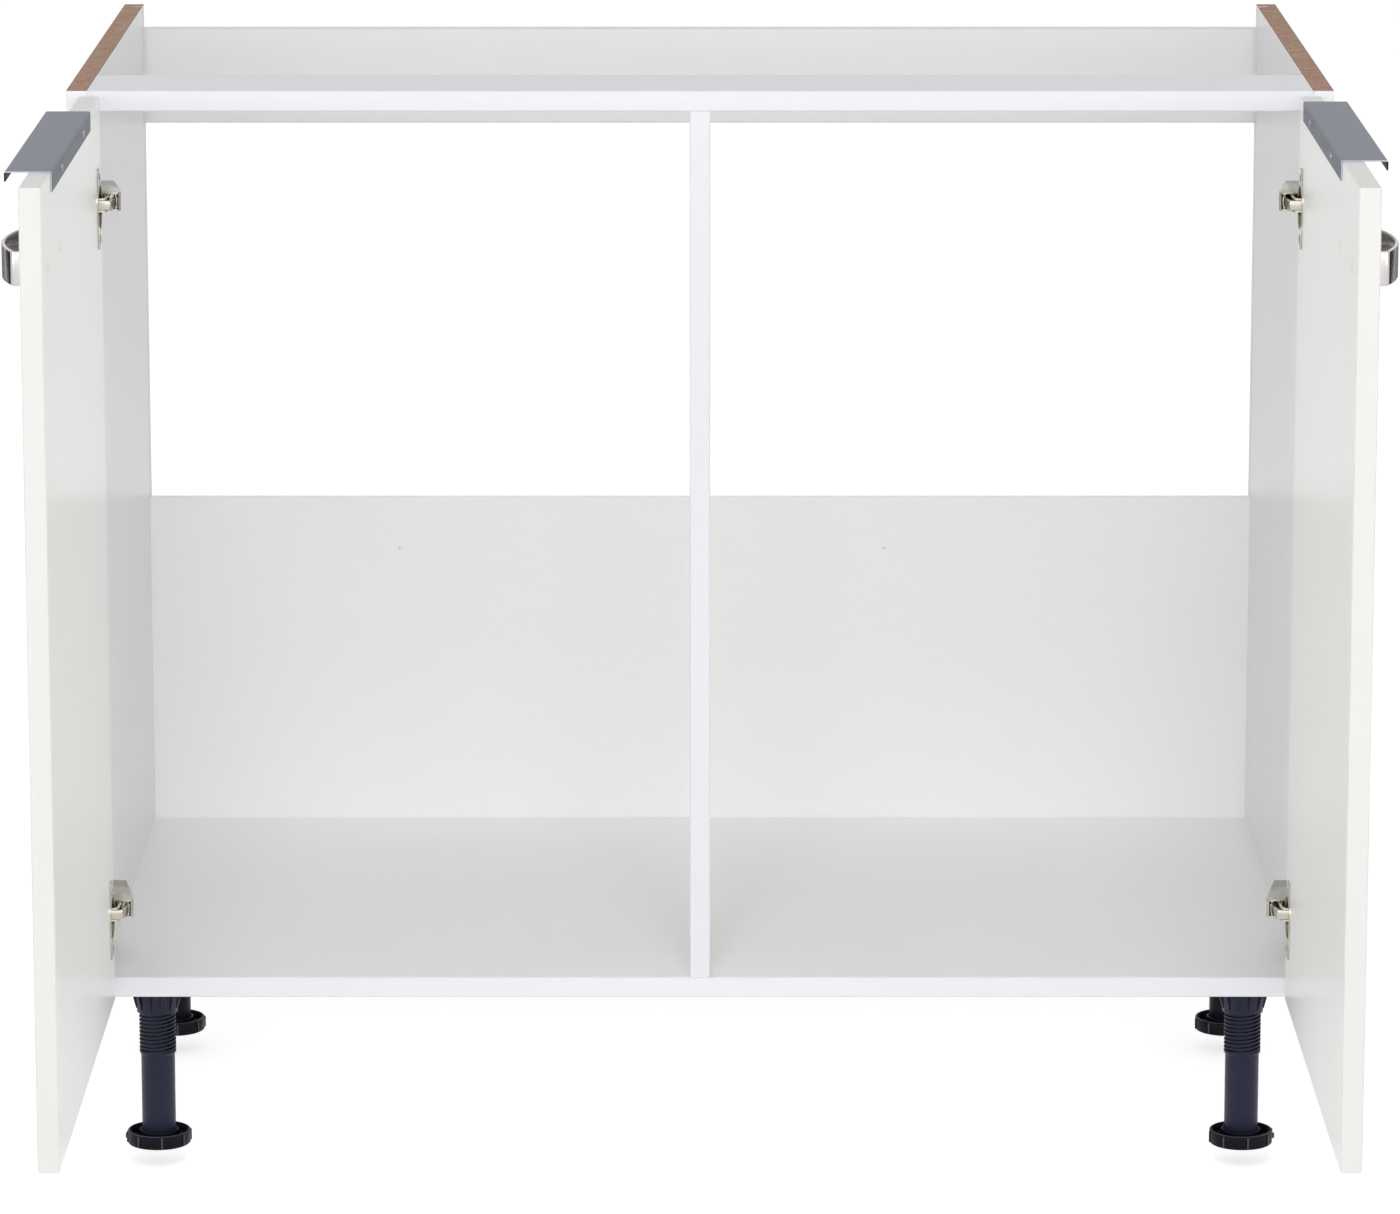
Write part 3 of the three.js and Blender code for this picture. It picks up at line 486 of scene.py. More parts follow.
grip_metal = Finish("grip_metal", (105, 112, 125), 0.4, 1.0)
drawn = grip_metal.noise(1800, 3, (1, 0.03, 1))
coat = grip_metal.ramp(drawn, (0.0, (88, 95, 107)), (1.0, (95, 102, 115)))
off_middle = grip_metal.away("X")
under_cover = grip_metal.sum("LESS_THAN", grip_metal.along("Z"), DOOR_TOP + SKIN)
past_door = grip_metal.sum("GREATER_THAN", off_middle, DOOR_OUTER)
behind_lip = grip_metal.sum("LESS_THAN", off_middle, -GRIP_LOW.x - GRIP_SHEET + SKIN)
cut_end = 0
for side, sign in SIDES.items():
    low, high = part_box(f"grip_profile_{side}")
    off_end = grip_metal.away("Y", (low.y + high.y) / 2)
    end = grip_metal.sum("GREATER_THAN", off_end, (high.y - low.y) / 2 - SKIN)
    on_side = grip_metal.sum("MULTIPLY", grip_metal.along("X"), sign)
    on_side = grip_metal.sum("GREATER_THAN", on_side, 0)
    cut_end = grip_metal.sum("MAXIMUM", cut_end, grip_metal.all_of(end, on_side))
coat = grip_metal.mix(cut_end, coat, srgb(*CUT_SHEET))
# Painted shade: the hollow under the cover, behind the lip and at the lip's cut ends is coloured
# near black.
inside = grip_metal.all_of(under_cover, past_door, behind_lip)
lip_end = grip_metal.all_of(under_cover, past_door, cut_end)
inside = grip_metal.sum("MAXIMUM", inside, lip_end)
grip_metal.colour(grip_metal.mix(inside, coat, srgb(*PAINTED_LIP_SHADE)))
grip_metal.roughness(grip_metal.spread(drawn, 0.38, 0.44, 0.0, 1.0))
grip_metal.bump(drawn, 1.5 * MICRON)
print("profiles' sheet:", round(GRIP_SHEET / MM, 2), "mm")

# %% Zinc on the screws
zinc = Finish("screw_zinc", (200, 203, 208), 0.3, 1.0)
zinc.colour(zinc.ramp(zinc.noise(900, 2), (0.3, (160, 163, 169)), (0.7, (184, 187, 192))))
zinc.roughness(zinc.spread(zinc.noise(1500, 2), 0.22, 0.4))

bare_nodes = [name for name, node in cad_nodes.items() if not node.get("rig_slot")]
print("finished as they are:", len(cad_nodes) - len(bare_nodes), "- still bare:", len(bare_nodes))

# %% [markdown]
# ## How the small parts are modelled
#
# Most of the small parts are round, or a strip that follows a line. A round part starts as a
# disc. We extrude its face again and again, and scale the new face at each step, as one does by
# hand when turning a shape out of a cylinder. A strip starts as its own cross-section, which is
# extruded along straight runs and spun round each bend. Then a narrow bevel takes the sharpness
# off the edges, because no moulded or stamped edge is perfectly sharp, and it is that thin
# bright line which tells the eye how big a part is.


# %% Helpers for modelling
MERGE = 2 * MICRON
ON_AXIS = 0.1


def clear_selection():
    if bpy.context.object and bpy.context.object.mode != "OBJECT":
        bpy.ops.object.mode_set(mode="OBJECT")
    bpy.ops.object.select_all(action="DESELECT")


def make_active(piece):
    clear_selection()
    piece.select_set(True)
    bpy.context.view_layer.objects.active = piece


def settle():
    """Puts the active object's place into its mesh, so that it sits at the origin."""
    bpy.ops.object.transform_apply(location=True, rotation=True, scale=True)


def close_up(merge=True):
    """In edit mode: merges what coincides, points every face outwards and leaves edit mode."""
    bpy.ops.mesh.select_all(action="SELECT")
    if merge:
        bpy.ops.mesh.remove_doubles(threshold=MERGE)
    bpy.ops.mesh.normals_make_consistent(inside=False)
    bpy.ops.object.mode_set(mode="OBJECT")


def pick_faces(piece, test):
    """Selects the faces for which test(middle, normal) holds, and enters edit mode."""
    make_active(piece)
    bpy.ops.object.mode_set(mode="EDIT")
    bpy.ops.mesh.select_mode(type="FACE")
    bpy.ops.mesh.select_all(action="DESELECT")
    bpy.ops.object.mode_set(mode="OBJECT")
    for face in piece.data.polygons:
        face.select = bool(test(face.center, face.normal))
    bpy.ops.object.mode_set(mode="EDIT")


def turned(name, profile, steps=64, ring=False):
    """A round solid about z from (radius, height) pairs in millimetres.

    A ring's last pair is its first one again, and it has no end faces."""
    clear_selection()
    radius, height = profile[0]
    bpy.ops.mesh.primitive_circle_add(
        vertices=steps, radius=radius * MM, fill_type="NGON", location=(0, 0, height * MM)
    )
    piece = bpy.context.object
    piece.name = name
    settle()
    bpy.ops.object.mode_set(mode="EDIT")
    bpy.ops.mesh.select_mode(type="FACE")
    bpy.ops.mesh.select_all(action="SELECT")
    for next_radius, next_height in profile[1:]:
        step = (0, 0, (next_height - height) * MM)
        bpy.ops.mesh.extrude_region_move(TRANSFORM_OT_translate={"value": step})
        share = next_radius / radius
        middle = (0, 0, next_height * MM)
        bpy.ops.transform.resize(value=(share, share, 1), center_override=middle)
        radius, height = next_radius, next_height
    if ring:
        pick_faces(piece, lambda middle, normal: middle.xy.length < ON_AXIS * MM)
        bpy.ops.mesh.delete(type="ONLY_FACE")
    close_up()
    return piece


def block(name, low, high):
    """A box between two corners in millimetres, ready to be shaped further."""
    clear_selection()
    middle = [(a + b) / 2 * MM for a, b in zip(low, high)]
    bpy.ops.mesh.primitive_cube_add(size=1, location=middle)
    piece = bpy.context.object
    piece.name = name
    piece.scale = [(b - a) * MM for a, b in zip(low, high)]
    settle()
    return piece


def moved(piece, offset=(0, 0, 0), turn=(0, 0, 0), flip=(1, 1, 1)):
    """Mirrors, turns and moves a finished shape, and puts all that into its mesh."""
    make_active(piece)
    piece.scale = flip
    piece.rotation_euler = [math.radians(angle) for angle in turn]
    piece.location = [value * MM for value in offset]
    settle()
    if flip[0] * flip[1] * flip[2] < 0:
        bpy.ops.object.mode_set(mode="EDIT")
        close_up(merge=False)
    return piece


def copy_of(piece, name):
    """A twin of the piece, with its own mesh."""
    twin = piece.copy()
    twin.data = piece.data.copy()
    twin.name = name
    bpy.context.scene.collection.objects.link(twin)
    return twin


def joined(first, *others):
    """Joins the others into the first piece."""
    make_active(first)
    for each in others:
        each.select_set(True)
    bpy.ops.object.join()
    return first


def cut(piece, *tools):
    """Takes the tools' shapes out of the piece, and throws the tools away."""
    for tool in tools:
        make_active(piece)
        change = piece.modifiers.new("cut", "BOOLEAN")
        change.operation = "DIFFERENCE"
        change.solver = "EXACT"
        change.object = tool
        bpy.ops.object.modifier_apply(modifier=change.name)
        bpy.data.objects.remove(tool)
    return piece


def softened(piece, width=0.25, segments=2, angle=30):
    """A narrow round on every edge sharper than `angle` degrees, and smooth shading."""
    make_active(piece)
    if width:
        change = piece.modifiers.new("soft edge", "BEVEL")
        change.width = width * MM
        change.segments = segments
        change.limit_method = "ANGLE"
        change.angle_limit = math.radians(angle)
        bpy.ops.object.modifier_apply(modifier=change.name)
    bpy.ops.object.shade_smooth_by_angle(angle=math.radians(angle))
    return piece


def millimetres(node):
    """A CAD node's lowest and highest corners, in millimetres."""
    return [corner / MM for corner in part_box(node)]


# %% [markdown]
# ## The legs: sockets
#
# A cabinet leg has three mouldings. The socket is pressed and screwed under the bottom panel:
# a round plate, a neck that flares up into it, and a dozen thin ribs that stiffen the flare. We
# turn the shell as a ring, then shape one rib: a slim box whose top is scaled outwards from the
# neck, so that it leans along the flare. It is copied round the axis and joined on.

# %% Sockets
socket_low, socket_high = millimetres("leg_socket_front_left")
SOCKET_FOOT = socket_low.z
SOCKET_TOP = socket_high.z
PLATE_RADIUS = (socket_high.x - socket_low.x) / 2
PLATE = 4.0
BORE = 15.1
MOUTH = 16.4
FLARED = 24.4
SOCKET_LIP = 3.0
FLARE_STEPS = 10
RIBS = 12
RIB_HALF = 0.8
RIB_INNER = BORE + 0.6
RIB_BOTTOM = MOUTH + 0.9
RIB_TOP = FLARED + 1.2

neck = SOCKET_TOP - PLATE - SOCKET_FOOT
socket_profile = [(BORE, SOCKET_FOOT), (MOUTH, SOCKET_FOOT), (MOUTH, SOCKET_FOOT + SOCKET_LIP)]
for step in range(2, FLARE_STEPS + 1):
    rise = step / FLARE_STEPS
    flare = MOUTH + 0.3 + (FLARED - MOUTH) * rise**2
    socket_profile.append((flare, SOCKET_FOOT + neck * rise))
socket_profile += [
    (PLATE_RADIUS, SOCKET_TOP - PLATE),
    (PLATE_RADIUS, SOCKET_TOP),
    (BORE, SOCKET_TOP),
    (BORE, SOCKET_FOOT),
]
socket = softened(turned("leg_socket", socket_profile, ring=True), 0.3)

rib = block(
    "rib",
    (RIB_INNER, -RIB_HALF, SOCKET_FOOT + SOCKET_LIP + 0.5),
    (RIB_BOTTOM, RIB_HALF, SOCKET_TOP - PLATE + 0.5),
)
pick_faces(rib, lambda middle, normal: normal.z > 0.9)
spread_out = (RIB_TOP - RIB_INNER) / (RIB_BOTTOM - RIB_INNER)
bpy.ops.transform.resize(value=(spread_out, 1, 1), center_override=(RIB_INNER * MM, 0, 0))
close_up()
softened(rib, 0.3)
ribs = [moved(copy_of(rib, "rib"), turn=(0, 0, 360 * (i + 0.5) / RIBS)) for i in range(RIBS)]
joined(socket, *ribs)
bpy.data.objects.remove(rib)
print("socket:", len(socket.data.polygons), "faces")

# %% [markdown]
# ## The legs: threaded tubes
#
# The tube turns in the socket. Its upper part is a coarse moulded thread, and below it the tube
# is plain. A thread could be faked with rings, but rings are level and a real thread climbs, as
# the photograph shows. The screw modifier draws one: a small trapezium, lifted by one lead for
# each turn. This thread has two starts, so two ridges run side by side. A short collar below
# them closes the thread, and the two ends are hidden in it and in the socket.

# %% Tubes
TUBE_RADIUS = 13.6
TUBE_BORE = 11.0
BORE_DEPTH = 30.0
ROOT_RADIUS = 12.1
CREST_RADIUS = 14.8
THREAD_FOOT = 77.0
THREAD_TOP = 122.0
PITCH = 3.2
STARTS = 2
RIDGE_FOOT = 2.3
RIDGE_TOP = 1.3
RIDGE_SUNK = 0.3
TURN_STEPS = 48
TUBE_FOOT, TUBE_TOP = [corner.z for corner in millimetres("leg_tube_front_left")]


def thread_ridge(start):
    """One ridge of the thread, as a closed solid."""
    clear_selection()
    bpy.ops.mesh.primitive_plane_add(size=1)
    ridge = bpy.context.object
    ridge.rotation_euler = (math.radians(90), 0, 0)
    ridge.scale = ((CREST_RADIUS - ROOT_RADIUS + RIDGE_SUNK) * MM, RIDGE_FOOT * MM, 1)
    middle = (CREST_RADIUS + ROOT_RADIUS - RIDGE_SUNK) / 2 * MM
    ridge.location = (middle, 0, THREAD_FOOT * MM)
    settle()
    for vertex in ridge.data.vertices:
        vertex.select = vertex.co.x > middle
    bpy.ops.object.mode_set(mode="EDIT")
    bpy.ops.mesh.select_mode(type="VERT")
    bpy.ops.transform.resize(
        value=(1, 1, RIDGE_TOP / RIDGE_FOOT), center_override=(0, 0, THREAD_FOOT * MM)
    )
    bpy.ops.mesh.select_all(action="SELECT")
    bpy.ops.mesh.delete(type="ONLY_FACE")
    bpy.ops.object.mode_set(mode="OBJECT")
    change = ridge.modifiers.new("climb", "SCREW")
    change.axis = "Z"
    change.steps = TURN_STEPS
    change.render_steps = TURN_STEPS
    change.screw_offset = PITCH * STARTS * MM
    change.iterations = int((THREAD_TOP - THREAD_FOOT) / (PITCH * STARTS))
    bpy.ops.object.modifier_apply(modifier=change.name)
    bpy.ops.object.mode_set(mode="EDIT")
    bpy.ops.mesh.select_mode(type="EDGE")
    bpy.ops.mesh.select_all(action="DESELECT")
    bpy.ops.mesh.select_non_manifold()
    bpy.ops.mesh.edge_face_add()
    close_up()
    return moved(ridge, turn=(0, 0, 360 / STARTS * start))


tube = turned(
    "leg_tube",
    [
        (TUBE_RADIUS - 0.6, TUBE_FOOT),
        (TUBE_RADIUS, TUBE_FOOT + 0.6),
        (TUBE_RADIUS, THREAD_FOOT - 2.2),
        (CREST_RADIUS - 0.2, THREAD_FOOT - 1.0),
        (CREST_RADIUS, THREAD_FOOT + 0.2),
        (CREST_RADIUS, THREAD_FOOT + 1.0),
        (ROOT_RADIUS, THREAD_FOOT + 1.8),
        (ROOT_RADIUS, TUBE_TOP - 1.0),
        (ROOT_RADIUS - 1.0, TUBE_TOP),
        (TUBE_BORE, TUBE_TOP),
        (TUBE_BORE, TUBE_TOP - BORE_DEPTH),
    ],
)
softened(tube, 0.25)
ridges = [softened(thread_ridge(start), 0.12, 1) for start in range(STARTS)]
joined(tube, *ridges)
print("tube:", len(tube.data.polygons), "faces")

# %% [markdown]
# ## The legs: feet
#
# The foot is a shallow dish that a hand turns to level the cabinet. Its rim has eight upright
# ribs and one nib that points outwards, and its hub grips the tube. The dish is turned with
# its inside, ending on a full face under the tube, so that it is closed underneath.

# %% Feet
FOOT_RADIUS = 25.4
FOOT_HEIGHT = 11.4
HUB_HEIGHT = 12.0
HUB_BORE = 13.9
DISH = 4.0
RIM_RIBS = 8
RIM_RIB = {"proud": 0.9, "wide": 2.2, "low": 1.0, "high": FOOT_HEIGHT - 0.7}
NIB = {"proud": 1.8, "wide": 2.8, "low": 3.5, "high": 8.0}
GRIP_TAPER = (1, 0.55, 0.94)
HIGHLIGHT_FROM = 0.3
LIP_WIDE = 0.8
LIP_DEEP = 0.6

foot = turned(
    "leg_foot",
    [
        (FOOT_RADIUS - 1.2, 0),
        (FOOT_RADIUS, 1.0),
        (FOOT_RADIUS, FOOT_HEIGHT - 0.7),
        (FOOT_RADIUS - 0.7, FOOT_HEIGHT),
        (FOOT_RADIUS - 2.4, FOOT_HEIGHT),
        (FOOT_RADIUS - 2.9, DISH + 0.8),
        (FOOT_RADIUS - 3.7, DISH),
        (HUB_BORE + 3.4, DISH),
        (HUB_BORE + 2.4, DISH + 0.8),
        (HUB_BORE + 2.0, HUB_HEIGHT - 0.5),
        (HUB_BORE + 1.5, HUB_HEIGHT),
        (HUB_BORE, HUB_HEIGHT),
        (HUB_BORE, TUBE_FOOT),
    ],
    steps=96,
)
softened(foot, 0.25)


def rim_grip(angle, proud, wide, low, high):
    """A grip on the foot's rim at that angle, narrower at its outer face."""
    grip = block(
        "grip", (FOOT_RADIUS - 1.2, -wide / 2, low), (FOOT_RADIUS + proud, wide / 2, high)
    )
    pick_faces(grip, lambda middle, normal: normal.x > 0.9)
    middle = (FOOT_RADIUS * MM, 0, (low + high) / 2 * MM)
    bpy.ops.transform.resize(value=GRIP_TAPER, center_override=middle)
    close_up()
    softened(grip, 0.2)
    return moved(grip, turn=(0, 0, angle))


joined(foot, *[rim_grip(360 * (i + 0.2) / RIM_RIBS, **RIM_RIB) for i in range(RIM_RIBS)])
print("foot:", len(foot.data.polygons), "faces")


def paint_rim_highlight(part, middle):
    """Gives a foot's rim ribs, nib and lip the paler plastic, as a painted highlight."""
    part.data.materials.append(rim_highlight_plastic.material)
    for face in part.data.polygons:
        place = face.center / MM
        from_axis = math.hypot(place.x - middle[0], place.y - middle[1])
        on_rib = from_axis > FOOT_RADIUS + HIGHLIGHT_FROM
        on_lip = from_axis > FOOT_RADIUS - LIP_WIDE and place.z > FOOT_HEIGHT - LIP_DEEP
        face.material_index = int(on_rib or on_lip)


# %% Legs at the four corners
for corner in CORNERS:
    low, high = millimetres(f"leg_tube_{corner}")
    middle = ((low.x + high.x) / 2, (low.y + high.y) / 2, 0)
    outwards = 180 if "left" in corner else 0
    leg_finish = shaded_back_leg_plastic if "back" in corner else leg_plastic
    nibbed = joined(copy_of(foot, f"foot_{corner}"), rim_grip(outwards, **NIB))
    parts = {
        "leg_socket": (copy_of(socket, f"socket_{corner}"), "carcass"),
        "leg_tube": (copy_of(tube, f"tube_{corner}"), f"leg_{corner}"),
        "leg_foot": (nibbed, f"leg_{corner}"),
    }
    for kind, (part, body) in parts.items():
        moved(part, offset=middle)
        cover(foot_plastic if kind == "leg_foot" else leg_finish, "leg_plastic", part)
        if kind == "leg_foot":
            paint_rim_highlight(part, middle)
        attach(part, body)
        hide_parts(f"{kind}_{corner}")
    print("leg", corner, "at", [round(v, 1) for v in middle[:2]], "mm")
for master in (socket, tube, foot):
    bpy.data.objects.remove(master)

# %% [markdown]
# ## Bow handles
#
# The handle is one wide strap of metal that stands square on the door at both ends and bows
# outwards between them. Its section is a flat oblong with rounded corners. We draw that section
# once, extrude it off the door, spin it round the first bend, along the bow and round the
# second bend, and extrude it back to the door. Spinning keeps the section square to the line,
# which a row of moved boxes would not.

# %% Handles
STRAP = 2.8
STRAP_ROUND = 0.36 * STRAP
SHOULDER = 7.4
BEND = 4.5
BEND_STEPS = 8
BOW_STEPS = 32
handle_low, handle_high = millimetres("door_handle_left")
HANDLE_REACH, HANDLE_LONG, HANDLE_TALL = handle_high - handle_low


def spin(angle, centre, steps):
    """In edit mode: spins the selected face about an upright line through `centre`."""
    bpy.ops.mesh.spin(
        steps=steps,
        angle=math.radians(angle),
        center=(centre[0] * MM, centre[1] * MM, 0),
        axis=(0, 0, -1),
    )


half = (HANDLE_LONG - STRAP) / 2
rise = HANDLE_REACH - STRAP / 2 - SHOULDER
bow_radius = (half**2 + rise**2) / (2 * rise)
bow_middle = SHOULDER + rise - bow_radius
bend_line = half - BEND
bend_start = bow_middle + math.sqrt((bow_radius - BEND) ** 2 - bend_line**2)
bow_half = math.degrees(math.asin(bend_line / (bow_radius - BEND)))

clear_selection()
bpy.ops.mesh.primitive_plane_add(size=1, location=(0, -half * MM, 0))
handle = bpy.context.object
handle.name = "bow_handle"
handle.rotation_euler = (0, math.radians(90), 0)
handle.scale = (HANDLE_TALL * MM, STRAP * MM, 1)
settle()
bpy.ops.object.mode_set(mode="EDIT")
bpy.ops.mesh.select_all(action="SELECT")
bpy.ops.mesh.bevel(offset=STRAP_ROUND * MM, segments=4, affect="VERTICES")
bpy.ops.mesh.select_mode(type="FACE")
bpy.ops.mesh.select_all(action="SELECT")
bpy.ops.mesh.extrude_region_move(TRANSFORM_OT_translate={"value": (bend_start * MM, 0, 0)})
spin(90 - bow_half, (bend_start, -bend_line), BEND_STEPS)
spin(2 * bow_half, (bow_middle, 0), BOW_STEPS)
spin(90 - bow_half, (bend_start, bend_line), BEND_STEPS)
bpy.ops.mesh.extrude_region_move(TRANSFORM_OT_translate={"value": (-bend_start * MM, 0, 0)})
close_up()
softened(handle, 0)

# %% The bosses that take the screws, and both handles in place
BOSS = 5.0
HANDLE_CENTRES = 96.0
for along in (-HANDLE_CENTRES / 2, HANDLE_CENTRES / 2):
    reach = math.sqrt(bow_radius**2 - along**2) + bow_middle
    boss = turned("boss", [(BOSS, 0), (BOSS, reach - 2.0), (BOSS - 1.2, reach)], steps=32)
    softened(moved(boss, offset=(0, along, 0), turn=(0, 90, 0)), 0.4)
    joined(handle, boss)

handle_middle = (handle_low + handle_high) / 2
for side, sign in SIDES.items():
    part = copy_of(handle, f"bow_handle_{side}")
    foot_x = sign * min(abs(handle_low.x), abs(handle_high.x))
    moved(part, offset=(foot_x, handle_middle.y, handle_middle.z), flip=(sign, 1, 1))
    cover(handle_metal, "handle_metal", part)
    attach(part, f"door_{side}")
    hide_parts(f"door_handle_{side}")
bpy.data.objects.remove(handle)
print("bow: radius", round(bow_radius, 1), "mm, spun through", round(2 * bow_half, 1), "degrees")

# %% [markdown]
# ## Grip profiles
#
# A strip of sheet metal is folded over the door's top edge: a flange down the inner face, a
# cover on top, and a lip that fingers pull. A sheet is modelled as a sheet: one plane for the
# cover, whose two long edges are extruded down, then a bevel on the two folds, and at the end
# the solidify modifier gives it its one millimetre. The coat hides the metal except at the two
# sawn ends, and the hollow under the cover is painted near black as painted shade.

# %% Grip profiles
GRIP_LIP = 7.5
GRIP_FLANGE = 14.0
FOLD = 1.1
NEAR_LIP = 5.0
sheet = GRIP_SHEET / MM
for side, sign in SIDES.items():
    low, high = millimetres(f"grip_profile_{side}")
    top = high.z - sheet / 2
    clear_selection()
    middle = [(low.x + high.x) / 2 * MM, (low.y + high.y) / 2 * MM, top * MM]
    bpy.ops.mesh.primitive_plane_add(size=1, location=middle)
    grip = bpy.context.object
    grip.name = f"grip_{side}"
    grip.scale = ((high.x - low.x - sheet) * MM, (high.y - low.y) * MM, 1)
    settle()
    outer = (low.x if sign < 0 else high.x) * MM
    for from_top, at_lip in ((GRIP_LIP - sheet / 2, True), (GRIP_FLANGE + sheet / 2, False)):
        make_active(grip)
        bpy.ops.object.mode_set(mode="EDIT")
        bpy.ops.mesh.select_mode(type="VERT")
        bpy.ops.mesh.select_all(action="DESELECT")
        bpy.ops.object.mode_set(mode="OBJECT")
        for vertex in grip.data.vertices:
            near_lip = abs(vertex.co.x - outer) < NEAR_LIP * MM
            vertex.select = near_lip == at_lip and abs(vertex.co.z - top * MM) < SKIN
        bpy.ops.object.mode_set(mode="EDIT")
        bpy.ops.mesh.extrude_region_move(
            TRANSFORM_OT_translate={"value": (0, 0, -from_top * MM)}
        )
    bpy.ops.object.mode_set(mode="OBJECT")
    folds = grip.modifiers.new("folds", "BEVEL")
    folds.width = FOLD * MM
    folds.segments = 6
    folds.limit_method = "ANGLE"
    bpy.ops.object.modifier_apply(modifier=folds.name)
    wall = grip.modifiers.new("sheet", "SOLIDIFY")
    wall.thickness = GRIP_SHEET
    wall.offset = 0
    bpy.ops.object.modifier_apply(modifier=wall.name)
    bpy.ops.object.mode_set(mode="EDIT")
    close_up()
    softened(grip, 0.12, 1, 40)
    cover(grip_metal, "grip_metal", grip)
    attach(grip, f"door_{side}")
    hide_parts(f"grip_profile_{side}")
    print("grip", side, "from", round(low.y), "to", round(high.y), "mm")

# %% [markdown]
# ## Screws
#
# All the screws have a pan head with a cross recess. One head is turned, and two slim boxes are
# cut out of it crosswise. The screws of the profiles show their bare zinc. Those of the handles
# come through from the door's inner face, and their heads sit under small white caps, which is
# why the photograph shows nothing there.


# %% A screw with a cross recess
def cross_screw(name, head_radius, head_height, shank_radius, length, recess=0.62):
    """A screw along z whose head stands on z = 0 and whose shank goes down.

    All sizes are in millimetres, and `recess` is the cross's share of the head."""
    screw = turned(
        name,
        [
            (0.3, -length),
            (shank_radius, -length + shank_radius),
            (shank_radius, 0),
            (head_radius, 0),
            (head_radius, head_height * 0.35),
            (head_radius * 0.86, head_height * 0.8),
            (head_radius * 0.55, head_height),
        ],
        steps=32,
    )
    reach = head_radius * recess
    slot = head_radius * 0.13
    depth = head_height * 0.7
    across = block("slot", (-reach, -slot, head_height - depth), (reach, slot, head_height + 1))
    along = block("slot", (-slot, -reach, head_height - depth), (slot, reach, head_height + 1))
    cut(screw, across, along)
    return softened(screw, 0)


def face_in(part, sign):
    """Lays a part that stands on z = 0 so that it stands on a face seen from the middle."""
    return moved(part, turn=(0, -90 * sign, 0))


# %% Screws of the profiles
grip_screw = cross_screw("grip_screw", 3.0, 1.0, 1.5, 12.0)
door_inner = DOOR_INNER / MM
for side, sign in SIDES.items():
    for end in ("front", "back"):
        low, high = millimetres(f"grip_screw_{end}_{side}")
        part = face_in(copy_of(grip_screw, f"profile_screw_{end}_{side}"), sign)
        seat = sign * (door_inner - sheet)
        moved(part, offset=(seat, (low.y + high.y) / 2, (low.z + high.z) / 2))
        cover(zinc, "screw_steel", part)
        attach(part, f"door_{side}")
        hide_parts(f"grip_screw_{end}_{side}")
        print(end, side, "screw at", [round(v, 1) for v in (seat, (low.y + high.y) / 2)])
bpy.data.objects.remove(grip_screw)

# %% Screws of the handles, under their caps
white_cap = Finish("white_cap", (240, 241, 236), 0.35)
cap_tone = white_cap.noise(300, 2)
white_cap.colour(white_cap.ramp(cap_tone, (0.3, (237, 238, 233)), (0.7, (242, 243, 238))))
white_cap.bump(white_cap.noise(1500, 2), 4 * MICRON)
handle_screw = cross_screw("handle_screw", 3.7, 0.45, 2.0, 22.0)
cap_profile = [(5.0, 0.02), (5.0, 0.3), (4.7, 0.5), (4.0, 0.6)]
cap_shape = softened(turned("cap", cap_profile, steps=48), 0)
for side, sign in SIDES.items():
    for end in ("front", "back"):
        low, high = millimetres(f"handle_screw_{end}_{side}")
        place = (sign * door_inner, (low.y + high.y) / 2, (low.z + high.z) / 2)
        part = face_in(copy_of(handle_screw, f"bow_screw_{end}_{side}"), sign)
        moved(part, offset=place)
        cover(zinc, "screw_steel", part)
        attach(part, f"door_{side}")
        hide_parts(f"handle_screw_{end}_{side}")
        lid = face_in(copy_of(cap_shape, f"screw_cap_{end}_{side}"), sign)
        moved(lid, offset=place)
        cover(white_cap, "door_board", lid)
        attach(lid, f"door_{side}")
        print(end, side, "handle screw at", [round(v, 1) for v in place])
for master in (handle_screw, cap_shape):
    bpy.data.objects.remove(master)

# %% [markdown]
# ## Concealed hinges
#
# A cup hinge is pressed from nickel-plated sheet. The cup sits in a round hole in the door, and
# its flange is screwed to the door's face. The cross-shaped plate is screwed to the side, the
# arm is clipped over it, and two links join arm and cup. Arm, plate and links have the right
# shape in CAD already, because they have to clear each other as the door swings. So their
# meshes are copied, merged into clean faces and given the soft edges of pressed sheet. The cup
# is modelled again, because a drawn cup shows one even curve where CAD has flats.

# %% Helpers for the hinges
HINGE_EDGE = 0.22


def pressed_copy(node, name):
    """A CAD node's shape as clean faces with the soft edges of pressed sheet."""
    part = copy_of(cad_nodes[node], name)
    part.parent = None
    for key in [key for key in part.keys() if key.startswith("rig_")]:
        del part[key]
    make_active(part)
    bpy.ops.object.mode_set(mode="EDIT")
    bpy.ops.mesh.customdata_custom_splitnormals_clear()
    bpy.ops.mesh.select_all(action="SELECT")
    bpy.ops.mesh.remove_doubles(threshold=MERGE)
    bpy.ops.mesh.dissolve_limited(angle_limit=math.radians(1))
    close_up()
    return softened(part, HINGE_EDGE)


def round_corners(piece, radius, axis, segments=12):
    """Rounds the four corners of a box by bevelling its edges that run along one axis."""
    make_active(piece)
    bpy.ops.object.mode_set(mode="EDIT")
    bpy.ops.mesh.select_mode(type="EDGE")
    bpy.ops.mesh.select_all(action="DESELECT")
    bpy.ops.object.mode_set(mode="OBJECT")
    places = [vertex.co for vertex in piece.data.vertices]
    for edge in piece.data.edges:
        run = places[edge.vertices[0]] - places[edge.vertices[1]]
        edge.select = abs(run["xyz".index(axis)]) > 0.99 * run.length
    bpy.ops.object.mode_set(mode="EDIT")
    bpy.ops.mesh.bevel(offset=radius * MM, segments=segments, affect="EDGES")
    close_up()
    return piece


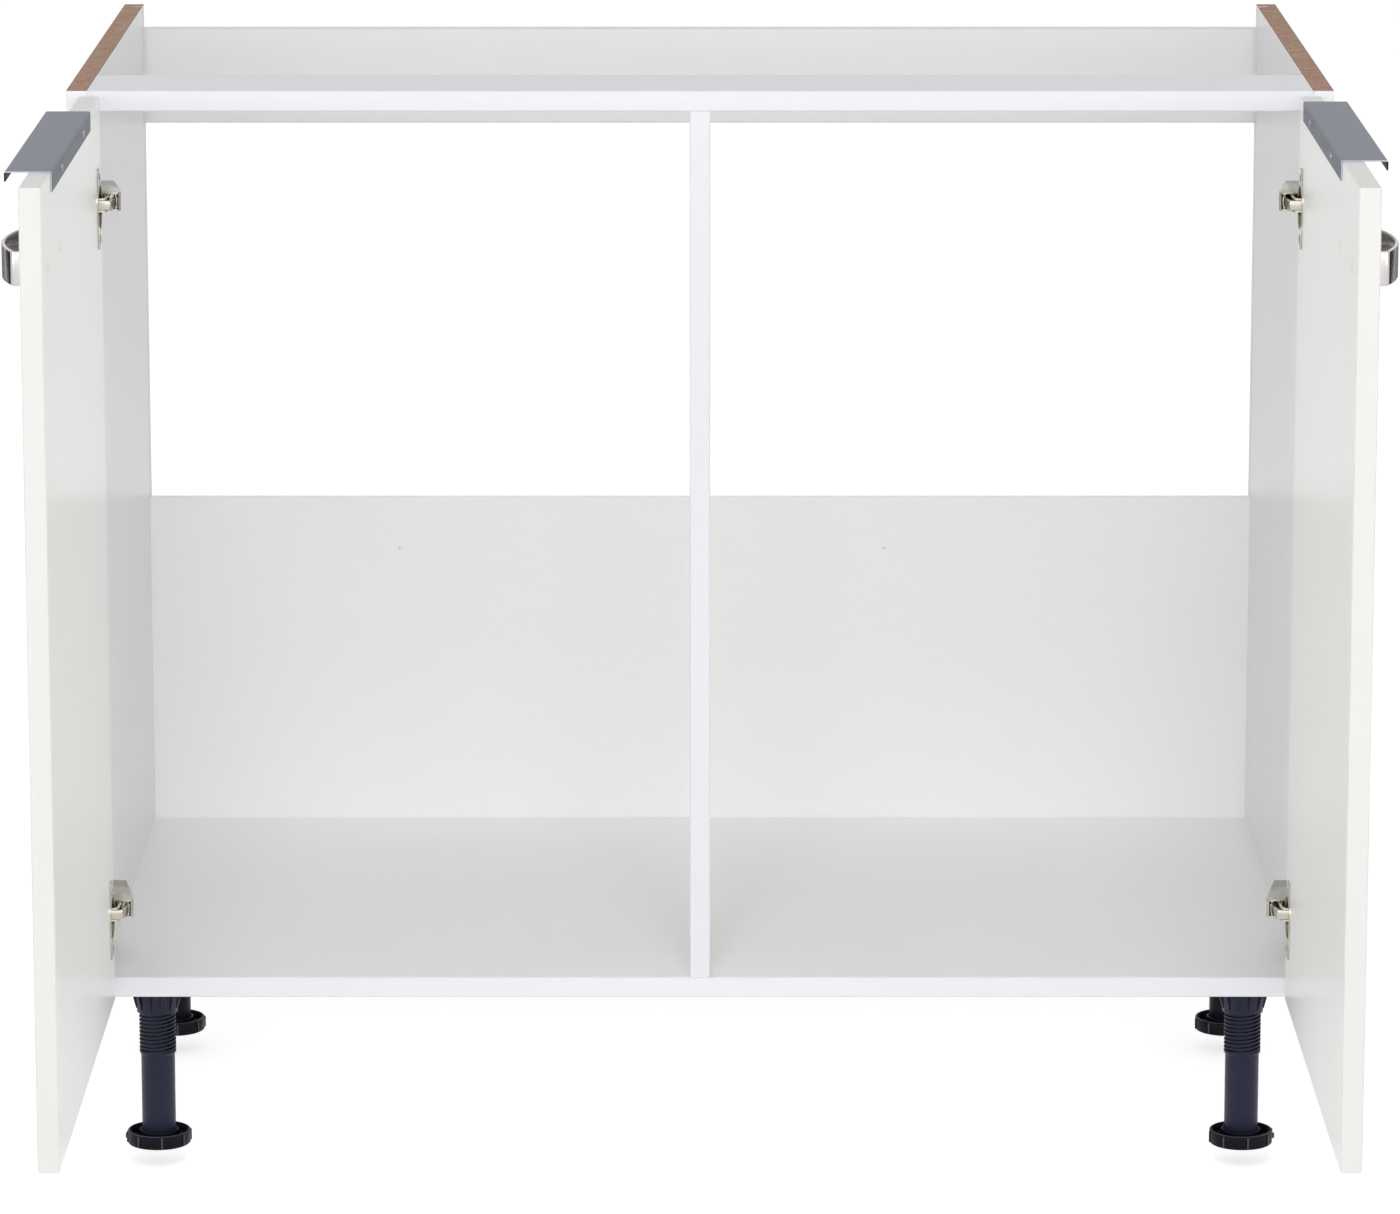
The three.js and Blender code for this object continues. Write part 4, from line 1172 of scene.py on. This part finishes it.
# %% The cup, modelled once for the left door, about its own middle
cup_low, cup_high = millimetres("hinge_cup_upper_left")
CUP_RADIUS = 17.5
CUP_WALL = 1.0
CUP_DEPTH = 13.0
CUP_STEPS = 96
RIM = 0.8
FLANGE = 1.2
FLANGE_HALF = (cup_high.z - cup_low.z) / 2
FLANGE_WIDE = 15.0
FLANGE_CORNER = 3.0
FLANGE_OFFSET = -5.5
cup_y = cup_high.y - CUP_RADIUS - RIM

inner = CUP_RADIUS - CUP_WALL
cup = turned(
    "hinge_cup",
    [
        (inner - 0.6, -CUP_DEPTH),
        (CUP_RADIUS - 0.3, -CUP_DEPTH + 0.4),
        (CUP_RADIUS, -CUP_DEPTH + 1.2),
        (CUP_RADIUS, 0),
        (CUP_RADIUS + RIM, 0),
        (CUP_RADIUS + RIM, FLANGE - 0.3),
        (CUP_RADIUS + RIM / 2, FLANGE),
        (inner + 0.5, FLANGE),
        (inner, FLANGE - 0.6),
        (inner, -CUP_DEPTH + 3.5),
        (inner - 0.7, -CUP_DEPTH + 1.9),
        (inner - 2.4, -CUP_DEPTH + CUP_WALL),
    ],
    steps=CUP_STEPS,
)
softened(cup, 0)
moved(cup, turn=(0, 90, 0))
flange = block(
    "flange",
    (0, FLANGE_OFFSET - FLANGE_WIDE / 2, -FLANGE_HALF),
    (FLANGE, FLANGE_OFFSET + FLANGE_WIDE / 2, FLANGE_HALF),
)
round_corners(flange, FLANGE_CORNER, "x")
mouth_radius = CUP_RADIUS + 0.3
mouth = turned("mouth", [(mouth_radius, -2), (mouth_radius, 4)], CUP_STEPS)
moved(mouth, turn=(0, 90, 0))
cut(flange, mouth)
softened(flange, 0.25)

# %% The two lugs in the cup, lower towards the middle of the door
LUG_FROM = 5.7
LUG_FOOT = -CUP_DEPTH + 0.5
LUG_TOP = -1.0
LUG_Y = (8.75, 15.4)
LUG_SLOPE = 6.7
lugs = []
for low_z in (LUG_FROM, -LUG_FROM - FLANGE):
    lug = block("lug", (LUG_FOOT, LUG_Y[0], low_z), (LUG_TOP, LUG_Y[1], low_z + FLANGE))
    pick_faces(lug, lambda middle, normal: normal.y < -0.9)
    slope = (0, -LUG_SLOPE * MM, 0)
    bpy.ops.mesh.extrude_region_move(TRANSFORM_OT_translate={"value": slope})
    foot_line = (LUG_FOOT * MM, 0, 0)
    bpy.ops.transform.resize(value=(0.5, 1, 1), center_override=foot_line)
    close_up()
    lugs.append(softened(lug, 0.2))
joined(cup, flange, *lugs)
print("cup:", len(cup.data.polygons), "faces, at y", round(cup_y, 2))

# %% Screws of the hinges
flange_screw = cross_screw("flange_screw", 3.6, 0.9, 1.6, 10.0)
plate_screw = cross_screw("plate_screw", 4.0, 1.5, 2.2, 12.0)
set_screw = cross_screw("set_screw", 3.0, 1.1, 2.0, 3.0, 0.75)
FLANGE_SCREW = FLANGE_HALF - FLANGE_WIDE / 2
FLANGE_SEAT = FLANGE - 0.2
WING_SCREW = 17.0
WING_BEHIND = 29.0
PLATE_THICKNESS = 2.0
ARM_LEAN = 10.5
ARM_SCREWS = {"side": (26.0, 21.2), "clamp": (50.0, 16.8)}
PRESSED = {"hinge_plate": "carcass", "hinge_arm": "carcass"}


def screw_in(master, name, sign, place, body, lean=0.0):
    """A copy of the screw, seated at `place` with its head towards the cabinet's middle."""
    part = face_in(copy_of(master, name), sign)
    moved(part, turn=(0, 0, -sign * lean))
    moved(part, offset=place)
    cover(zinc, "screw_steel", part)
    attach(part, body)


# %% Every hinge put together
for side, sign in SIDES.items():
    flip = (-sign, 1, 1)
    inner_face = sign * abs(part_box(f"side_panel_{side}")[0 if side == "right" else 1].x) / MM
    for level in LEVELS:
        tag = f"{level}_{side}"
        plate_low, plate_high = millimetres(f"hinge_plate_{tag}")
        middle_z = (plate_low.z + plate_high.z) / 2
        wing_y = plate_low.y + WING_BEHIND
        links = {f"hinge_{which}_link": f"{which}_links_{side}" for which in ("outer", "inner")}
        for kind, body in {**PRESSED, **links}.items():
            part = pressed_copy(f"{kind}_{tag}", f"pressed_{kind[6:]}_{tag}")
            cover(nickel, "hinge_steel", part)
            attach(part, body)
            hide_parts(f"{kind}_{tag}")
        part = copy_of(cup, f"drawn_cup_{tag}")
        moved(part, offset=(sign * door_inner, cup_y, middle_z), flip=flip)
        cover(nickel, "hinge_steel", part)
        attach(part, f"door_{side}")
        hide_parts(f"hinge_cup_{tag}")
        for end, up in (("top", 1), ("bottom", -1)):
            place = (
                sign * (door_inner - FLANGE_SEAT),
                cup_y + FLANGE_OFFSET,
                middle_z + up * FLANGE_SCREW,
            )
            screw_in(flange_screw, f"flange_screw_{end}_{tag}", sign, place, f"door_{side}")
            place = (inner_face - sign * PLATE_THICKNESS, wing_y, middle_z + up * WING_SCREW)
            screw_in(plate_screw, f"plate_screw_{end}_{tag}", sign, place, "carcass")
        for kind, (behind, off_side) in ARM_SCREWS.items():
            place = (inner_face - sign * off_side, CARCASS_FRONT / MM + behind, middle_z)
            screw_in(set_screw, f"{kind}_screw_{tag}", sign, place, "carcass", ARM_LEAN)
        print("hinge", tag, "at", round(middle_z, 1), "mm up")
for master in (cup, flange_screw, plate_screw, set_screw):
    bpy.data.objects.remove(master)

# %% [markdown]
# ## Floor, background and light
#
# A product picture has a white room with no corners: a wide pale floor and a white world. The
# floor keeps the cabinet's soft shadow. It lies as low as a leg reaches when it is screwed
# right out, so that no foot sinks into it. The camera and mirrors see it a little brighter than
# the lamps make it, which a glow mixed in by Light Path does without lighting the cabinet. The
# world lights from everywhere, more from its walls than from above.

# %% Floor
FLOOR_SIZE = 60
FLOOR_GLOW = 0.6
LEG_REACH = 17 * MM
FLOOR_CLEAR = 0.2 * MM
clear_selection()
bpy.ops.mesh.primitive_plane_add(size=FLOOR_SIZE, location=(0, 0, -LEG_REACH - FLOOR_CLEAR))
floor = bpy.context.object
floor.name = "floor"
floor_finish = Finish("floor_white", (246, 246, 247), 0.9)
floor_finish.shader.inputs["Specular IOR Level"].default_value = 0.0
path = floor_finish.add("ShaderNodeLightPath")
seen = floor_finish.sum("MAXIMUM", path.outputs["Is Camera Ray"], path.outputs["Is Glossy Ray"])
glow = floor_finish.add("ShaderNodeEmission")
glow.inputs["Color"].default_value = (1, 1, 1, 1)
glow.inputs["Strength"].default_value = FLOOR_GLOW
both = floor_finish.add("ShaderNodeAddShader")
floor_finish.feed(both.inputs[0], floor_finish.shader.outputs["BSDF"])
floor_finish.feed(both.inputs[1], glow.outputs["Emission"])
pick = floor_finish.add("ShaderNodeMixShader")
floor_finish.feed(pick.inputs["Fac"], seen)
floor_finish.feed(pick.inputs[1], floor_finish.shader.outputs["BSDF"])
floor_finish.feed(pick.inputs[2], both.outputs["Shader"])
surface = floor_finish.tree.nodes["Material Output"].inputs["Surface"]
floor_finish.feed(surface, pick.outputs["Shader"])
floor.data.materials.append(floor_finish.material)
print("floor", FLOOR_SIZE, "m wide,", round(-floor.location.z / MM, 1), "mm below the feet")

# %% The white world
WALL_LEVEL = 0.82
CEILING_LEVEL = 0.22
world = bpy.data.worlds.new("white_room")
world.use_nodes = True
bpy.context.scene.world = world
tree = world.node_tree
path = tree.nodes.new("ShaderNodeLightPath")
seen = path.outputs["Is Camera Ray"]
for ray in ("Is Transmission Ray", "Is Glossy Ray"):
    either = tree.nodes.new("ShaderNodeMath")
    either.operation = "MAXIMUM"
    tree.links.new(seen, either.inputs[0])
    tree.links.new(path.outputs[ray], either.inputs[1])
    seen = either.outputs["Value"]
white = tree.nodes.new("ShaderNodeBackground")
white.inputs["Color"].default_value = (1, 1, 1, 1)
white.inputs["Strength"].default_value = 1.0
light = tree.nodes["Background"]
light.inputs["Color"].default_value = (1, 1, 1, 1)
towards = tree.nodes.new("ShaderNodeTexCoord")
split = tree.nodes.new("ShaderNodeSeparateXYZ")
height = tree.nodes.new("ShaderNodeMapRange")
height.inputs["To Min"].default_value = WALL_LEVEL
height.inputs["To Max"].default_value = CEILING_LEVEL
tree.links.new(towards.outputs["Generated"], split.inputs["Vector"])
tree.links.new(split.outputs["Z"], height.inputs["Value"])
tree.links.new(height.outputs["Result"], light.inputs["Strength"])
blend = tree.nodes.new("ShaderNodeMixShader")
tree.links.new(seen, blend.inputs["Fac"])
tree.links.new(light.outputs["Background"], blend.inputs[1])
tree.links.new(white.outputs["Background"], blend.inputs[2])
tree.links.new(blend.outputs["Shader"], tree.nodes["World Output"].inputs["Surface"])
print("world: walls", WALL_LEVEL, "ceiling", CEILING_LEVEL)

# %% [markdown]
# ## Dark cards
#
# Bare metal shows only what it mirrors, and in an all-white room it looks like paper. So dark
# cards, which photographers call flags, stand upright behind the cabinet on both sides. Only
# reflections see them, and they draw the dark bands on the handles and hinges.

# %% Dark cards, each with its brightness, first and last bearing, and distance in metres
FLAG_TALL = 0.9
FLAGS = {
    "grey": (0.22, 8, 38, 3.2),
    "black": (0.01, 42, 72, 3.0),
}


def flag(name, level, start, end, away, sign):
    """An upright card that only reflections see, between two bearings from the rear."""
    corners = []
    for bearing in (start, end):
        angle = math.radians(bearing)
        corners.append(Vector((sign * away * math.sin(angle), away * math.cos(angle), 0)))
    middle = (corners[0] + corners[1]) / 2 + Vector((0, 0, FLAG_TALL / 2))
    run = corners[1] - corners[0]
    clear_selection()
    bpy.ops.mesh.primitive_plane_add(size=1, location=middle)
    card = bpy.context.object
    card.name = name
    card.scale = (run.length, FLAG_TALL, 1)
    card.rotation_euler = (math.radians(90), 0, math.atan2(run.y, run.x))
    for ray in ("camera", "diffuse", "shadow", "transmission", "volume_scatter"):
        setattr(card, f"visible_{ray}", False)
    paint = bpy.data.materials.new(name)
    paint.use_nodes = True
    tree = paint.node_tree
    glow = tree.nodes.new("ShaderNodeEmission")
    glow.inputs["Color"].default_value = (level, level, level, 1)
    tree.links.new(glow.outputs["Emission"], tree.nodes["Material Output"].inputs["Surface"])
    card.data.materials.append(paint)
    print("card", name, round(run.length, 2), "m wide")


for side, sign in SIDES.items():
    for kind, (level, start, end, away) in FLAGS.items():
        flag(f"{kind}_flag_{side}", level, start, end, away, sign)

# %% [markdown]
# ## Lamps
#
# One wide soft lamp in front lifts what faces the camera. Two more stand far out at its sides,
# where they reach the inner faces of the open doors and hardly touch their edges, and a small
# one high above reaches the cabinet's floor. The Standard view shows colours as they are
# written.


# %% Lamps
def soft_lamp(name, place, aim, size, power):
    """An oblong lamp, its size in metres across and up, turned towards `aim`."""
    lamp = bpy.data.lights.new(name, "AREA")
    lamp.shape = "RECTANGLE"
    lamp.size, lamp.size_y = size
    lamp.energy = power
    holder = bpy.data.objects.new(name, lamp)
    holder.location = place
    holder.rotation_euler = (Vector(aim) - Vector(place)).to_track_quat("-Z", "Y").to_euler()
    bpy.context.scene.collection.objects.link(holder)
    print(name, power, "W at", place)


soft_lamp("front_lamp", (0, -12.0, 2.4), aim=(0, 0, 0.4), size=(26.0, 5.0), power=520)
for side, sign in SIDES.items():
    place = (sign * 10.6, -5.8, 0.9)
    soft_lamp(f"side_lamp_{side}", place, aim=(0, -0.2, 0.4), size=(4.0, 1.8), power=140)
soft_lamp("high_lamp", (0, -6.0, 6.0), aim=(0, 0, 0.3), size=(3.0, 3.0), power=180)
bpy.context.scene.view_settings.view_transform = "Standard"
